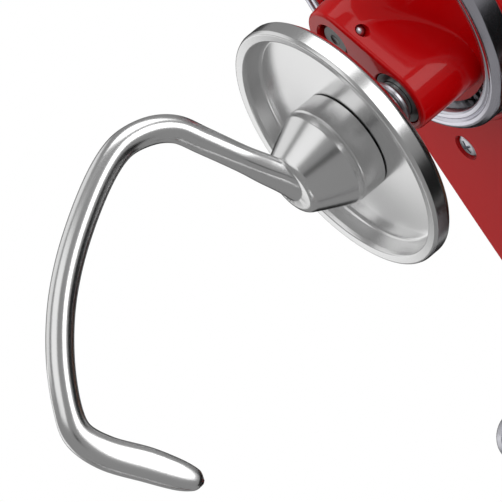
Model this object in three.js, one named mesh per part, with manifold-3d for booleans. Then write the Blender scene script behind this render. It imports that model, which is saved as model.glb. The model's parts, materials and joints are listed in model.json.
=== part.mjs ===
// A tilt-head stand mixer that stands with its head tipped open and a dough hook on its shaft.
//
// Units are millimetres and +Z is up. The front of the mixer faces -Y and the side with the
// speed lever is +X. The stand is drawn about the planetary axis as it lies with the head down,
// the head is drawn closed, and one group then tips it open about the hinge. The last lines
// move the whole mixer so that its origin is at the middle of its footprint, on the table.

import * as THREE from "three";
import { mergeVertices } from "three/addons/utils/BufferGeometryUtils.js";
import Module from "manifold-3d";

const wasm = await Module();
wasm.setup();

// ---- driving dimensions -------------------------------------------------------------------

const gap = 0.3; // between pieces that are seated on or in each other
const degree = Math.PI / 180;

const openAngle = 45; // degrees that the head is tipped back
const undersideZ = 240; // table to the flat underside of the closed head
const driveRise = 64; // underside to the motor, worm and attachment axis
const seamRise = 46; // underside to the joint between the two head castings
const hingeY = 165; // planetary axis to the hinge axis
const hingeDrop = 10; // hinge axis below the underside
const hingePinRadius = 5;
const hingeLugRadius = 12;
const hingeLugHalf = 20; // half the width of the head's hinge lug

const headWall = 5;
const headLower = 3.6; // squareness of the lower half of a head section
const headUpper = 2.5; // squareness of the upper half
// y, half width, bottom and top above the underside
const headStations = [
  [-92, 27, 37, 91],
  [-84, 36, 22, 97],
  [-70, 46, 4, 103],
  [-50, 54, -12, 109],
  [-25, 58, -20, 113],
  [0, 60, -20, 115],
  [50, 61, -20, 116],
  [100, 61, -20, 115],
  [150, 59, -20, 112],
  [190, 55, -14, 105],
  [220, 49, 4, 95],
  [240, 40, 18, 82],
  [250, 25, 35, 65],
];
const endCoverY = 200; // where the rear cover meets the castings
const bandHalf = 6; // half the height of the trim band
const bandThick = 1.4;

const screwPlaces = [[31, 62], [-31, 62], [40, 120], [-40, 120]]; // in the underside
const screwHead = 4.2;
const screwShank = 2.2;
const screwLength = 12;
const screwBoss = 8;
const tailScrewRise = 58; // underside to the end cover's screw

const gearModule = 1.5; // planetary ring and pinion
const ringTeeth = 58;
const pinionTeeth = 20;
const planetAngle = 54.7 * degree; // where the agitator stands round the planetary axis
const faceDrop = 32.6; // underside to the flat lower face of the planetary casting
const bossRadius = 12;
const hubRadius = 11.3;
const bossWall = 6.8; // straight side wall above the flat face
const flangeRise = 26; // flat face to the flange of the planetary casting
const flangeRadius = 41;
const flangeThick = 4;
const agitatorRadius = 6.35;
const centreShaftRadius = 6;
const centreShaftInset = 1.5; // shaft end above the flat face
const washerRadius = 9.3;
const washerRecess = 2;
const circlipDrop = 2.4;
const lockPinRadius = 1.95;
const lockPinRise = 4.6;

const ringOuter = 48.5; // ring gear
const ringHeight = 9.5;
const dripOuter = 50.5;
const dripInner = 43.3;
const dripHeight = 10.6;
const pocketBlock = 54; // casting round the ring gear
const pocketRoof = 5;
const pocketDepth = 11;
const bushingRadius = 13; // bush that the centre shaft turns in
const bushingLength = 12;

const shieldDrop = 27.4; // flat face to the front rim of the splash shield
const shieldRadius = 44.5;
const shieldWall = 5.8; // rim height in front of the plate
const shieldSheet = 1.4;
const collarRadius = 17.3;
const grooveDrop = 3.2; // rim plane to the groove under the collar
const coneDrop = 19.2; // rim plane to the flat end of the hub
const coneRadius = 10.2;
const hookTurn = 76.2 * degree; // direction of the hook's plane round its shaft
const crossPinRadius = 1.75;
const crossPinRise = 4; // above the rim plane
const crossPinReach = 3; // beyond the shaft on both sides
const crossPinTurn = 35; // degrees round the shaft from the planetary's long axis
const bayonetTurn = 30; // degrees that the hook turns to come off the pin

const hubModule = 1.9; // bevel pair that drives the attachment hub
const bevelTeeth = 14;
const bevelFace = 5;
const spurModule = 1.6; // vertical pinion and centre gear
const centreTeeth = 38;
const wheelPinionTeeth = 12;
const wormModule = 1.5;
const wormStarts = 2;
const wormRadius = 7;
const wormLength = 20;
const wheelTeeth = 22;
const wheelFace = 10;
const centreGearRise = 24; // underside to the centre gear
const centreGearFace = 7.5;
const wheelShaftRadius = 4;

const statorOuter = 38;
const statorInner = 24;
const statorStart = 80;
const statorLength = 50;
const armatureRadius = 23.3;
const motorShaftRadius = 5;
const bearingRadius = 11;
const bearingLength = 7;
const frontBearingY = 53;
const rearBearingY = 176;
const fanY = 150;
const fanRadius = 34;
const brushY = 140;
const brushCapRadius = 8;

const hubSleeveRadius = 21.5;
const hubBore = 18;
const hubDepth = 52;
const knobY = -62;
const knobRadius = 12;
const knobLength = 15;
const knobStem = 4;
const coverRadius = 23.5;
const coverThick = 5;
const coverPinRadius = 1.3;
const knuckleRadius = 2.8;
const knuckleHalf = 9;

const speedY = 57; // lever at its slowest
const speedTravel = 36;
const speedRise = 74; // underside to the lever's slot
const leverRadius = 2.5;

const baseRadius = 110; // round front of the base
const baseFrontY = -8; // its centre
const baseBehind = 78; // hinge axis to the base's rear wall
const baseRearHalf = 66;
const baseCorner = 42;
const rearFootInset = 29; // rear wall to the rear foot
const baseTop = 42;
const baseWall = 6;
const glandZ = 18; // inlet of the supply lead in the base's rear wall
const glandNeck = 5;
const footHeight = 5;
const footRadius = 14;
const plateRadius = 62;
const plateThick = 3;
const plateRim = 5;
const plateScrews = 40; // radius of the circle of screws

const columnWall = 7;
const headToColumn = 2; // gap under the closed head
const columnSolid = 26; // solid top of the column that holds the hinge
// share of the column's height, middle behind the hinge axis, half depth, half width
const columnStations = [
  [0, 3, 66, 64],
  [0.1, 1, 57, 58],
  [0.26, -3, 48, 53],
  [0.48, -5, 40, 48.5],
  [0.7, -6, 36.5, 46],
  [1, -6, 34.5, 44],
];
const boltX = 38;
const boltsBehind = [-25, 31]; // bolts behind the hinge axis
const boltRadius = 3.8;
const boltHeadRadius = 7;
const boltHeadHeight = 5;
const setScrewX = 33;
const setScrewRadius = 2.3;

const lockTravel = 12;
const lockX = 28; // tongue, on the -X side
const lockBefore = 28; // lever in front of the hinge axis
const lockDrop = 19; // underside to the tongue
const tongueRadius = 2.8;
const stemThick = 4;
const stemHalf = 2.2;
const padRadius = 8;
const keeperBefore = 11; // keeper's front face in front of the hinge axis
const keeperThick = 4;
const keeperHalf = 5;

// ---- worked-out places --------------------------------------------------------------------

const hingeZ = undersideZ - hingeDrop;
const driveZ = undersideZ + driveRise;
const seamZ = undersideZ + seamRise;
const faceZ = undersideZ - faceDrop;
const agitatorOffset = (gearModule * (ringTeeth - pinionTeeth)) / 2;
const spurDistance = (spurModule * (centreTeeth + wheelPinionTeeth)) / 2;
const wheelPitch = (wormModule * wheelTeeth) / 2;
const wheelX = wormRadius + wheelPitch;
const wheelY = Math.sqrt(spurDistance ** 2 - wheelX ** 2);
const wheelAngle = Math.atan2(wheelY, wheelX);
const bevelPitch = (hubModule * bevelTeeth) / 2;
const baseRearY = hingeY + baseBehind;
const lockY = hingeY - lockBefore;
const keeperY = hingeY - keeperBefore;
// The keeper's lower edge swings past the tongue's end as the head closes.
const keeperSwing = Math.hypot(keeperBefore, lockDrop + keeperHalf - hingeDrop);
const tongueAbove = hingeDrop - lockDrop + tongueRadius;
const tongueEnd = hingeY - Math.sqrt(keeperSwing ** 2 - tongueAbove ** 2) - 2.5 * gap;
const columnTop = undersideZ - headToColumn;
const columnFoot = baseTop + gap;
const gearPocketTop = undersideZ + pocketDepth;
const noseY = headStations[0][0];
const tailY = headStations.at(-1)[0];
const coverHingeZ = driveZ + coverRadius + knuckleRadius + 0.7;
const coverHingeY = noseY - knuckleRadius - 1.7;
const tailScrewZ = undersideZ + tailScrewRise;
const lockZ = undersideZ - lockDrop;
const speedZ = undersideZ + speedRise;

// ---- solids -------------------------------------------------------------------------------

function solid(geometry) {
  const plain = geometry.index ? geometry.toNonIndexed() : geometry;
  plain.deleteAttribute("normal");
  plain.deleteAttribute("uv");
  const merged = mergeVertices(plain, 1e-3);
  const mesh = new wasm.Mesh({
    numProp: 3,
    vertProperties: new Float32Array(merged.attributes.position.array),
    triVerts: new Uint32Array(merged.index.array),
  });
  return new wasm.Manifold(mesh);
}

function geometryOf(shape) {
  const mesh = shape.getMesh();
  const geometry = new THREE.BufferGeometry();
  geometry.setAttribute("position", new THREE.BufferAttribute(mesh.vertProperties, 3));
  geometry.setIndex(new THREE.BufferAttribute(mesh.triVerts, 1));
  geometry.computeVertexNormals();
  return geometry;
}

// A closed solid through rings of the same number of points, each end closed by a fan.
function loft(rings) {
  const count = rings[0].length;
  const points = rings.flat();
  const middle = (ring) =>
    ring.reduce((sum, point) => sum.add(point), new THREE.Vector3()).divideScalar(count);
  const faces = [];
  for (let row = 0; row < rings.length - 1; row += 1) {
    for (let i = 0; i < count; i += 1) {
      const next = (i + 1) % count;
      const [a, b] = [row * count + i, row * count + next];
      faces.push(a, b, b + count, a, b + count, a + count);
    }
  }
  const first = points.push(middle(rings[0])) - 1;
  const last = points.push(middle(rings.at(-1))) - 1;
  const offset = (rings.length - 1) * count;
  for (let i = 0; i < count; i += 1) {
    const next = (i + 1) % count;
    faces.push(first, next, i, last, offset + i, offset + next);
  }
  const geometry = new THREE.BufferGeometry().setFromPoints(points);
  geometry.setIndex(faces);
  return solid(geometry);
}

function box(x0, x1, y0, y1, z0, z1) {
  const geometry = new THREE.BoxGeometry(x1 - x0, y1 - y0, z1 - z0);
  geometry.translate((x0 + x1) / 2, (y0 + y1) / 2, (z0 + z1) / 2);
  return solid(geometry);
}

// A solid of revolution about Z from [radius, height] points.
function turned(outline, sides = 20) {
  const points = outline.map(([radius, height]) => new THREE.Vector2(radius, height));
  const geometry = new THREE.LatheGeometry(points, sides);
  geometry.rotateX(90 * degree);
  return solid(geometry);
}

function disc(radius, z0, z1, sides = 16) {
  return turned([[0, z0], [radius, z0], [radius, z1], [0, z1]], sides);
}

function ring(inner, outer, z0, z1, sides = 20) {
  return turned([[inner, z0], [outer, z0], [outer, z1], [inner, z1], [inner, z0]], sides);
}

// Shapes drawn about Z are laid along +Y or +X, so that a height becomes a y or an x.
const alongY = (shape) => shape.rotate([-90, 0, 0]);
const alongX = (shape) => shape.rotate([0, 90, 0]);

const join = (...shapes) => shapes.reduce((sum, shape) => sum.add(shape));
const cut = (shape, ...tools) => tools.reduce((rest, tool) => rest.subtract(tool), shape);

// ---- finishes -----------------------------------------------------------------------------

const finish = (colour, roughness, metalness) =>
  new THREE.MeshStandardMaterial({ color: colour, roughness, metalness });

const enamel = finish("#a30008", 0.2, 0);
const polished = finish("#d2d2d4", 0.12, 1);
const satin = finish("#a9a9b2", 0.35, 1);
const gearSteel = finish("#6d6f73", 0.4, 1);
const bronze = finish("#96703c", 0.4, 1);
const copper = finish("#a5562b", 0.45, 1);
const blackPlastic = finish("#17171a", 0.45, 0);
const rubber = finish("#1f1f21", 0.8, 0);

function place(parent, name, shape, material) {
  const mesh = new THREE.Mesh(geometryOf(shape), material);
  mesh.name = name;
  parent.add(mesh);
  return mesh;
}

// ---- gears --------------------------------------------------------------------------------

const pressure = Math.tan(20 * degree);

// Outline of a gear with straight flanks: [radius, angle] with a tooth at angle 0.
function gearOutline(teeth, size, addendum, dedendum, backlash) {
  const pitch = (size * teeth) / 2;
  const half = (Math.PI * size) / 4 - backlash / 2;
  const tip = (half - addendum * pressure) / pitch;
  const root = (half + dedendum * pressure) / pitch;
  const points = [];
  for (let tooth = 0; tooth < teeth; tooth += 1) {
    const middle = (tooth / teeth) * 2 * Math.PI;
    points.push([pitch - dedendum, middle - root], [pitch + addendum, middle - tip]);
    points.push([pitch + addendum, middle + tip], [pitch - dedendum, middle + root]);
  }
  return points;
}

const toRing = (outline, z, scale = 1, turn = 0) =>
  outline.map(([radius, angle]) => {
    const direction = angle + turn;
    return new THREE.Vector3(
      scale * radius * Math.cos(direction), scale * radius * Math.sin(direction), z,
    );
  });

function spurGear(outline, z0, z1) {
  return loft([toRing(outline, z0), toRing(outline, z1)]);
}

// A bevel gear about Z whose pitch cone has its point at the origin and opens downward.
function bevelGear(backThick) {
  const outline = gearOutline(bevelTeeth, hubModule, 1.4, 2, 0.6);
  const pitch = bevelPitch;
  const cone = (scale) =>
    outline.map(([radius, angle]) => {
      const lift = radius - pitch;
      const reach = scale * (pitch + lift * Math.SQRT1_2);
      const drop = scale * (-pitch + lift * Math.SQRT1_2);
      return new THREE.Vector3(reach * Math.cos(angle), reach * Math.sin(angle), drop);
    });
  const small = 1 - bevelFace / pitch;
  const back = toRing(gearOutline(bevelTeeth, hubModule, -2.2, 2.4, 0), -pitch - backThick, 0.9);
  return loft([back, cone(1), cone(small)]);
}

// A worm about Z: one section with a lobe for each start, turned as it rises.
function worm() {
  const lead = wormStarts * Math.PI * wormModule;
  const [addendum, dedendum] = [1.2, 1.7];
  const turnPer = (2 * Math.PI) / lead;
  const half = (Math.PI * wormModule) / 4 - 0.25;
  const tip = (half - addendum * pressure) * turnPer;
  const foot = (half + dedendum * pressure) * turnPer;
  const section = [];
  for (let start = 0; start < wormStarts; start += 1) {
    const middle = (start / wormStarts) * 2 * Math.PI;
    section.push(
      [wormRadius - dedendum, middle - foot], [wormRadius + addendum, middle - tip],
      [wormRadius + addendum, middle], [wormRadius + addendum, middle + tip],
      [wormRadius - dedendum, middle + foot], [wormRadius - dedendum, middle + Math.PI / wormStarts],
    );
  }
  const steps = Math.round((wormLength / lead) * 12);
  const rings = [];
  for (let step = 0; step <= steps; step += 1) {
    const z = (step / steps - 0.5) * wormLength;
    rings.push(toRing(section, z, 1, z * turnPer));
  }
  return loft(rings);
}

// ---- head shell ---------------------------------------------------------------------------

// The head's outer form, drawn in by `inset` all round.
function headForm(inset, sides = 24) {
  const rings = headStations.map(([y, halfWidth, low, high], index) => {
    const [bottom, top] = [undersideZ + low + inset, undersideZ + high - inset];
    const middle = bottom + 0.45 * (top - bottom);
    const end = index === 0 ? inset : index === headStations.length - 1 ? -inset : 0;
    const points = [];
    for (let i = 0; i < sides; i += 1) {
      const angle = (i / sides) * 2 * Math.PI;
      const power = 2 / (Math.sin(angle) < 0 ? headLower : headUpper);
      const across = Math.sign(Math.cos(angle)) * Math.abs(Math.cos(angle)) ** power;
      const along = Math.sign(Math.sin(angle)) * Math.abs(Math.sin(angle)) ** power;
      const height = along < 0 ? middle - bottom : top - middle;
      points.push(new THREE.Vector3((halfWidth - inset) * across, y + end, middle + height * along));
    }
    return points.reverse();
  });
  return loft(rings);
}

// Half the head's width at a place along it.
function halfWidthAt(y) {
  const after = headStations.findIndex(([station]) => station >= y);
  const [y0, width0] = headStations[after - 1];
  const [y1, width1] = headStations[after];
  return width0 + ((width1 - width0) * (y - y0)) / (y1 - y0);
}

const far = 600;
const above = (z) => box(-far, far, -far, far, z, far);
const below = (z) => box(-far, far, -far, far, -far, z);
const behind = (y) => box(-far, far, y, far, -far, far);
const before = (y) => box(-far, far, -far, y, -far, far);

const headOuter = headForm(0).intersect(above(undersideZ));
const headInner = headForm(headWall, 16).intersect(above(undersideZ + headWall));
const headShell = headOuter.subtract(headInner);

// Cross hole along X through the side of the head at a place.
const sideHole = (radius, y, z, x0, x1) => alongX(disc(radius, x0, x1)).translate([0, y, z]);

// Lower casting: floor with the ring gear's pocket, hinge lug, keeper and stator saddle.
function lowerGearcase() {
  const pocket = disc(pocketBlock, undersideZ, gearPocketTop + pocketRoof, 36);
  const lug = alongX(disc(hingeLugRadius, -hingeLugHalf, hingeLugHalf)).translate([0, hingeY, hingeZ]);
  const lugNeck = box(
    -hingeLugHalf, hingeLugHalf, hingeY - hingeLugRadius, hingeY + hingeLugRadius,
    hingeZ, undersideZ + headWall,
  );
  const keeper = box(
    -lockX - keeperHalf, -lockX + keeperHalf, keeperY, keeperY + keeperThick,
    undersideZ - lockDrop - keeperHalf, undersideZ + 1,
  );
  const keyhole = alongY(disc(tongueRadius + 0.8, keeperY - 1, keeperY + keeperThick + 1, 16))
    .translate([-lockX, 0, undersideZ - lockDrop]);
  const saddle = box(
    -12, 12, statorStart + 5, statorStart + statorLength - 5,
    undersideZ + headWall - 1, driveZ - statorOuter + 2,
  );
  const stator = alongY(disc(statorOuter + 2 * gap, statorStart, statorStart + statorLength, 28))
    .translate([0, 0, driveZ]);
  const bosses = screwPlaces.map(([x, y]) =>
    disc(screwBoss, undersideZ + 1, undersideZ + screwLength + 4).translate([x, y, 0]));
  const screwHoles = screwPlaces.map(([x, y]) =>
    join(
      disc(screwHead + 0.7, undersideZ - 1, undersideZ + 2.5, 14),
      disc(screwShank + gap, undersideZ, undersideZ + screwLength + 1, 8),
    ).translate([x, y, 0]));
  return cut(
    join(
      headShell.intersect(below(seamZ - gap / 2)).intersect(before(endCoverY - gap / 2)),
      pocket, lug, lugNeck, keeper, saddle.subtract(stator), ...bosses,
    ),
    disc(ringOuter + 2 * gap, undersideZ - 1, gearPocketTop, 36),
    disc(bushingRadius + gap, undersideZ, gearPocketTop + pocketRoof + 1),
    sideHole(hingePinRadius + gap, hingeY, hingeZ, -far, far),
    keyhole,
    hubSleeveSpace(),
    ...screwHoles,
  );
}

const hubSleeveSpace = () =>
  alongY(disc(hubSleeveRadius + gap, -far, noseY + hubDepth + gap, 36)).translate([0, 0, driveZ]);

// Upper casting, with the two cast webs that carry the motor's bearings.
function upperHousing() {
  const web = (y, x1) =>
    box(-far, x1, y, y + bearingLength - 1, seamZ + gap / 2, far).intersect(headForm(headWall - 0.5));
  const bearingHole = alongY(disc(bearingRadius + gap, frontBearingY - 1, rearBearingY + 9))
    .translate([0, 0, driveZ]);
  const slot = box(
    40, far, speedY - leverRadius - 1, speedY + speedTravel + leverRadius + 1,
    speedZ - leverRadius - 0.8, speedZ + leverRadius + 0.8,
  );
  return cut(
    join(
      headShell.intersect(above(seamZ + gap / 2)).intersect(before(endCoverY - gap / 2)),
      web(frontBearingY, 34),
      web(rearBearingY, far),
    ),
    bearingHole,
    slot,
    hubSleeveSpace(),
    sideHole(knobStem + 0.5, knobY, driveZ, 0, far),
    sideHole(brushCapRadius - 1, brushY, driveZ, -far, far),
  );
}

function endCover() {
  const screwHole = alongY(disc(2.5, tailY - 20, tailY + 5, 16)).translate([0, 0, tailScrewZ]);
  return cut(headShell.intersect(behind(endCoverY + gap / 2)), screwHole);
}

function trimBand() {
  const slab = box(-far, far, noseY + 14, far, seamZ - bandHalf, seamZ + bandHalf);
  return headForm(-bandThick - gap).subtract(headForm(-gap)).intersect(slab);
}

// ---- stand --------------------------------------------------------------------------------

// Plan of the base: a round front, drawn-in flanks and a square rear with round corners.
// The +X half is drawn from front to rear and mirrored.
function basePlan() {
  const half = new THREE.Path();
  const lean = 14 * degree;
  const sideX = baseRadius * Math.cos(lean);
  const sideY = baseFrontY + baseRadius * Math.sin(lean);
  const cornerY = baseRearY - baseCorner;
  half.absarc(0, baseFrontY, baseRadius, -Math.PI / 2, lean, false);
  half.bezierCurveTo(sideX - 12, sideY + 44, baseRearHalf, cornerY - 60, baseRearHalf, cornerY);
  half.absarc(baseRearHalf - baseCorner, cornerY, baseCorner, 0, Math.PI / 2, false);
  half.lineTo(0, baseRearY);
  const right = half.getSpacedPoints(18);
  const left = right.slice(1, -1).reverse().map(({ x, y }) => new THREE.Vector2(-x, y));
  return [...right, ...left];
}

function inset(points, amount) {
  return points.map((point, i) => {
    const before = points.at(i - 1);
    const after = points[(i + 1) % points.length];
    const run = after.clone().sub(before).normalize();
    return new THREE.Vector2(point.x - run.y * amount, point.y + run.x * amount);
  });
}

const footPlaces = [[72, -62], [-72, -62], [84, 26], [-84, 26], [0, baseRearY - rearFootInset]];

function base() {
  const plan = basePlan();
  const level = (amount, z) =>
    inset(plan, amount).map((point) => new THREE.Vector3(point.x, point.y, z));
  const edges = [[3, footHeight], [0, footHeight + 4], [0, 26], [4, 37], [14, baseTop]];
  const outer = loft(edges.map(([amount, z]) => level(amount, z)));
  const hollow = loft([level(baseWall + 3, -1), level(baseWall + 3, baseTop - baseWall)]);
  const feet = footPlaces.map(([x, y]) =>
    disc(footRadius - 1, footHeight, baseTop - 2, 10).translate([x, y, 0]));
  const footHoles = footPlaces.map(([x, y]) =>
    disc(5 + gap, footHeight - 1, footHeight + 11, 10).translate([x, y, 0]));
  const bolts = boltPlaces().map(([x, y]) =>
    disc(boltRadius + gap, 0, baseTop + 1, 12).translate([x, y, 0]));
  const plateHoles = plateScrewPlaces().map(([x, y]) =>
    disc(2.3, baseTop - 12, baseTop + 1, 10).translate([x, y, 0]));
  const glandHole = alongY(disc(glandNeck + gap, baseRearY - 20, baseRearY + 5)).translate([0, 0, glandZ]);
  return cut(
    join(outer.subtract(hollow), join(...feet).intersect(outer)),
    ...footHoles, ...bolts, ...plateHoles, glandHole,
  );
}

const boltPlaces = () =>
  boltsBehind.flatMap((behindHinge) => [[boltX, hingeY + behindHinge], [-boltX, hingeY + behindHinge]]);
const plateScrewPlaces = () =>
  [30, 150, 270].map((angle) => [
    plateScrews * Math.cos(angle * degree), plateScrews * Math.sin(angle * degree),
  ]);

const foot = () =>
  turned([[0, 0], [footRadius - 1, 0], [footRadius, footHeight - gap],
    [5, footHeight - gap], [5, footHeight + 10], [0, footHeight + 10]], 12);

const plateZ = baseTop + gap;

function bowlPlate() {
  const inner = plateRadius - 4;
  const rim = plateThick + plateRim;
  const plate = turned([[0, plateZ], [plateRadius, plateZ], [plateRadius, plateZ + rim],
    [inner, plateZ + rim], [inner, plateZ + plateThick], [0, plateZ + plateThick]], 30);
  const windows = [90, 210, 330].map((angle) =>
    box(inner - 2, plateRadius + 2, -15, 15, plateZ + plateThick, plateZ + rim + 1)
      .rotate([0, 0, angle]));
  const holes = plateScrewPlaces().map(([x, y]) =>
    turned([[0, plateZ - 1], [2.3, plateZ - 1], [2.3, plateZ + 0.8],
      [4.6, plateZ + plateThick + 0.05], [4.6, plateZ + 9], [0, plateZ + 9]], 12)
      .translate([x, y, 0]));
  return cut(plate, ...windows, ...holes);
}

const plateScrew = () =>
  turned([[0, plateZ - 11], [2, plateZ - 11], [2, plateZ + 0.7], [4.2, plateZ + plateThick - 0.2],
    [0, plateZ + plateThick - 0.2]], 12);

function columnForm(inward, top) {
  const sides = 24;
  return columnStations.map(([share, middle, halfDepth, halfWidth]) => {
    const z = columnFoot + share * (top - columnFoot);
    const middleY = hingeY + middle;
    const points = [];
    for (let i = 0; i < sides; i += 1) {
      const angle = (i / sides) * 2 * Math.PI;
      const [c, s] = [Math.cos(angle), Math.sin(angle)];
      const across = Math.sign(c) * Math.abs(c) ** (2 / 2.6);
      const along = Math.sign(s) * Math.abs(s) ** (2 / 2.6);
      points.push(new THREE.Vector3(
        (halfWidth - inward) * across, middleY + (halfDepth - inward) * along, z,
      ));
    }
    return points;
  });
}

// Column: hollow below, with a solid top that is slotted for the hinge lug and the latch.
function pedestal() {
  const outer = loft(columnForm(0, columnTop));
  const hollow = loft(columnForm(columnWall, columnTop + columnSolid))
    .intersect(below(columnTop - columnSolid))
    .add(loft(columnForm(columnWall, columnTop)).intersect(below(columnFoot + 2)).translate([0, 0, -1]));
  const bosses = boltPlaces().map(([x, y]) =>
    disc(10, columnFoot, columnFoot + 30, 10).translate([x, y, 0]));
  const boltHoles = boltPlaces().map(([x, y]) =>
    disc(boltRadius + gap, columnFoot - 1, columnFoot + 24, 12).translate([x, y, 0]));
  const reach = hingeDrop - headToColumn;
  // The part of the column that the head's underside sweeps is cut away behind the hinge.
  const sweep = box(-far, far, -far, far, 0, far)
    .rotate([-openAngle, 0, 0])
    .translate([0, hingeY + reach * Math.sin(openAngle * degree),
      hingeZ + reach * Math.cos(openAngle * degree)])
    .intersect(behind(hingeY));
  const lugSlot = box(
    -hingeLugHalf - 0.6, hingeLugHalf + 0.6, hingeY - hingeLugRadius - 5, far,
    hingeZ - hingeLugRadius - 3, far,
  );
  const lockPocket = box(
    -lockX - 7, -lockX + 6.5, lockY - 1, keeperY + 12, lockZ - 9, far,
  );
  const lockSlot = box(
    -far, -lockX, lockY - 0.8, lockY + stemThick + lockTravel + 0.8,
    lockZ - stemHalf - 0.6, lockZ + stemHalf + 0.6,
  );
  const setScrewHole = disc(setScrewRadius + gap, hingeZ, columnTop + 1).translate([setScrewX, hingeY, 0]);
  return cut(
    join(outer.subtract(hollow), ...bosses),
    sweep, lugSlot, lockPocket, lockSlot,
    sideHole(hingePinRadius + gap, hingeY, hingeZ, -far, far),
    setScrewHole,
    ...boltHoles,
  );
}

const hingePin = () => {
  const half = columnStations.at(-1)[3] - 1;
  return alongX(turned([[0, -half], [hingePinRadius - 1, -half], [hingePinRadius, 1 - half],
    [hingePinRadius, half - 1], [hingePinRadius - 1, half], [0, half]], 24));
};

const setScrew = () =>
  cut(disc(setScrewRadius, hingeZ + hingePinRadius + gap, columnTop - 0.5),
    disc(setScrewRadius / 2, columnTop - 2, columnTop + 1, 6));

const bolt = () =>
  join(disc(boltHeadRadius, baseTop - baseWall - boltHeadHeight - gap, baseTop - baseWall - gap, 6),
    disc(boltRadius, baseTop - baseWall - 1, columnFoot + 22, 12));

// Latch: tongue inside the column, stem through its side wall and a thumb pad outside.
function lockLever() {
  const tongue = alongY(disc(tongueRadius, lockY, tongueEnd)).translate([-lockX, 0, lockZ]);
  const wallX = columnStations.at(-1)[3];
  const stem = box(
    -wallX - 4, -lockX, lockY, lockY + stemThick, lockZ - stemHalf, lockZ + stemHalf,
  );
  const pad = alongX(turned([[0, 0], [padRadius - 1, 0], [padRadius, 1.5], [padRadius, 5],
    [padRadius - 2.5, 8], [0, 8.8]], 24))
    .scale([1, 0.8, 1]).rotate([0, 0, 180])
    .translate([-wallX - 1.5, lockY + stemThick / 2, lockZ]);
  return join(tongue, stem, pad);
}

// ---- planetary ----------------------------------------------------------------------------

// These pieces are drawn from the flat lower face upward, with the agitator towards +X.

function planetary() {
  const top = flangeRise + flangeThick;
  const flare = [];
  for (let i = 0; i <= 4; i += 1) {
    const turn = (i / 4) * 90 * degree;
    const radius = hubRadius + (flangeRadius - hubRadius) * (1 - Math.cos(turn));
    flare.push([radius, bossWall + (flangeRise - bossWall) * Math.sin(turn)]);
  }
  const body = turned([[0, 0], [hubRadius, 0], ...flare, [flangeRadius, top], [0, top]], 28);
  const boss = disc(bossRadius, 0, top, 20).translate([agitatorOffset, 0, 0]);
  const lean = Math.asin((bossRadius - hubRadius) / agitatorOffset);
  const web = new THREE.Shape([
    new THREE.Vector2(-hubRadius * Math.sin(lean), -hubRadius * Math.cos(lean)),
    new THREE.Vector2(agitatorOffset - bossRadius * Math.sin(lean), -bossRadius * Math.cos(lean)),
    new THREE.Vector2(agitatorOffset - bossRadius * Math.sin(lean), bossRadius * Math.cos(lean)),
    new THREE.Vector2(-hubRadius * Math.sin(lean), hubRadius * Math.cos(lean)),
  ]);
  const bridge = solid(new THREE.ExtrudeGeometry(web, { depth: top, bevelEnabled: false }));
  const collar = disc(10, top - 1, top + 6, 24);
  return cut(
    join(body, boss, bridge, collar),
    disc(centreShaftRadius + gap, -1, top + 9),
    disc(agitatorRadius + gap, -1, top + 1).translate([agitatorOffset, 0, 0]),
    disc(washerRadius + gap, -1, washerRecess, 24).translate([agitatorOffset, 0, 0]),
    lockPinHole(),
  );
}

const lockPinHole = () =>
  alongX(disc(lockPinRadius + gap, 0, hubRadius + 4, 16))
    .rotate([0, 0, -planetAngle / degree])
    .translate([0, 0, lockPinRise]);

const bevelZ = driveZ - faceZ; // the bevel pair's axis above the flat face
const centreShaftTop = bevelZ - bevelPitch + 3;

const centreShaft = () =>
  cut(disc(centreShaftRadius, centreShaftInset, centreShaftTop, 24),
    disc(2.2, centreShaftInset - 1, centreShaftInset + 3, 12),
    lockPinHole());

const lockPin = () =>
  alongX(turned([[0, 0.5], [lockPinRadius, 0.5], [lockPinRadius, hubRadius + 0.6],
    [lockPinRadius * 0.6, hubRadius + 1.4], [0, hubRadius + 1.7]], 16))
    .rotate([0, 0, -planetAngle / degree])
    .translate([0, 0, lockPinRise]);

const centreGearZ = faceDrop + centreGearRise;

const centreGear = () =>
  cut(spurGear(gearOutline(centreTeeth, spurModule, 1.3, 1.9, 0.5),
    centreGearZ, centreGearZ + centreGearFace),
    disc(centreShaftRadius + gap, 0, far, 24));

const centreBevel = () =>
  cut(bevelGear(6).translate([0, 0, bevelZ]), disc(centreShaftRadius + gap, 0, far, 24));

// ---- agitator -----------------------------------------------------------------------------

// Drawn from the planetary's flat face, about the agitator's own axis.

const pinionZ = faceDrop + 1;
const shaftDrop = shieldDrop + 8;
const crossPinZ = -shieldDrop + crossPinRise;

const crossPinHole = (radius) =>
  alongX(disc(radius, -far, far, 16)).rotate([0, 0, crossPinTurn]).translate([0, 0, crossPinZ]);

const agitatorShaft = () =>
  cut(turned([[0, -shaftDrop], [agitatorRadius - 1, -shaftDrop], [agitatorRadius, 1 - shaftDrop],
    [agitatorRadius, -circlipDrop - 0.9], [agitatorRadius - 0.9, -circlipDrop - 0.9],
    [agitatorRadius - 0.9, -circlipDrop + 0.9], [agitatorRadius, -circlipDrop + 0.9],
    [agitatorRadius, pinionZ + ringHeight], [0, pinionZ + ringHeight]], 20),
    crossPinHole(crossPinRadius + gap));

const crossPin = () =>
  alongX(disc(crossPinRadius, -agitatorRadius - crossPinReach, agitatorRadius + crossPinReach, 16))
    .rotate([0, 0, crossPinTurn]).translate([0, 0, crossPinZ]);

const agitatorPinion = () =>
  cut(spurGear(gearOutline(pinionTeeth, gearModule, 1.2, 1.7, 0.5), pinionZ, pinionZ + ringHeight - 1),
    disc(agitatorRadius + gap, 0, far, 24));

const thrustWasher = () =>
  ring(agitatorRadius + gap, washerRadius, 0.3, washerRecess - gap, 20);

const circlip = () =>
  cut(ring(agitatorRadius - 0.6, agitatorRadius + 1.6, -circlipDrop - 0.6, -circlipDrop + 0.6, 20),
    box(0, 20, -1.6, 1.6, -10, 10).rotate([0, 0, 150]));

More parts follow.
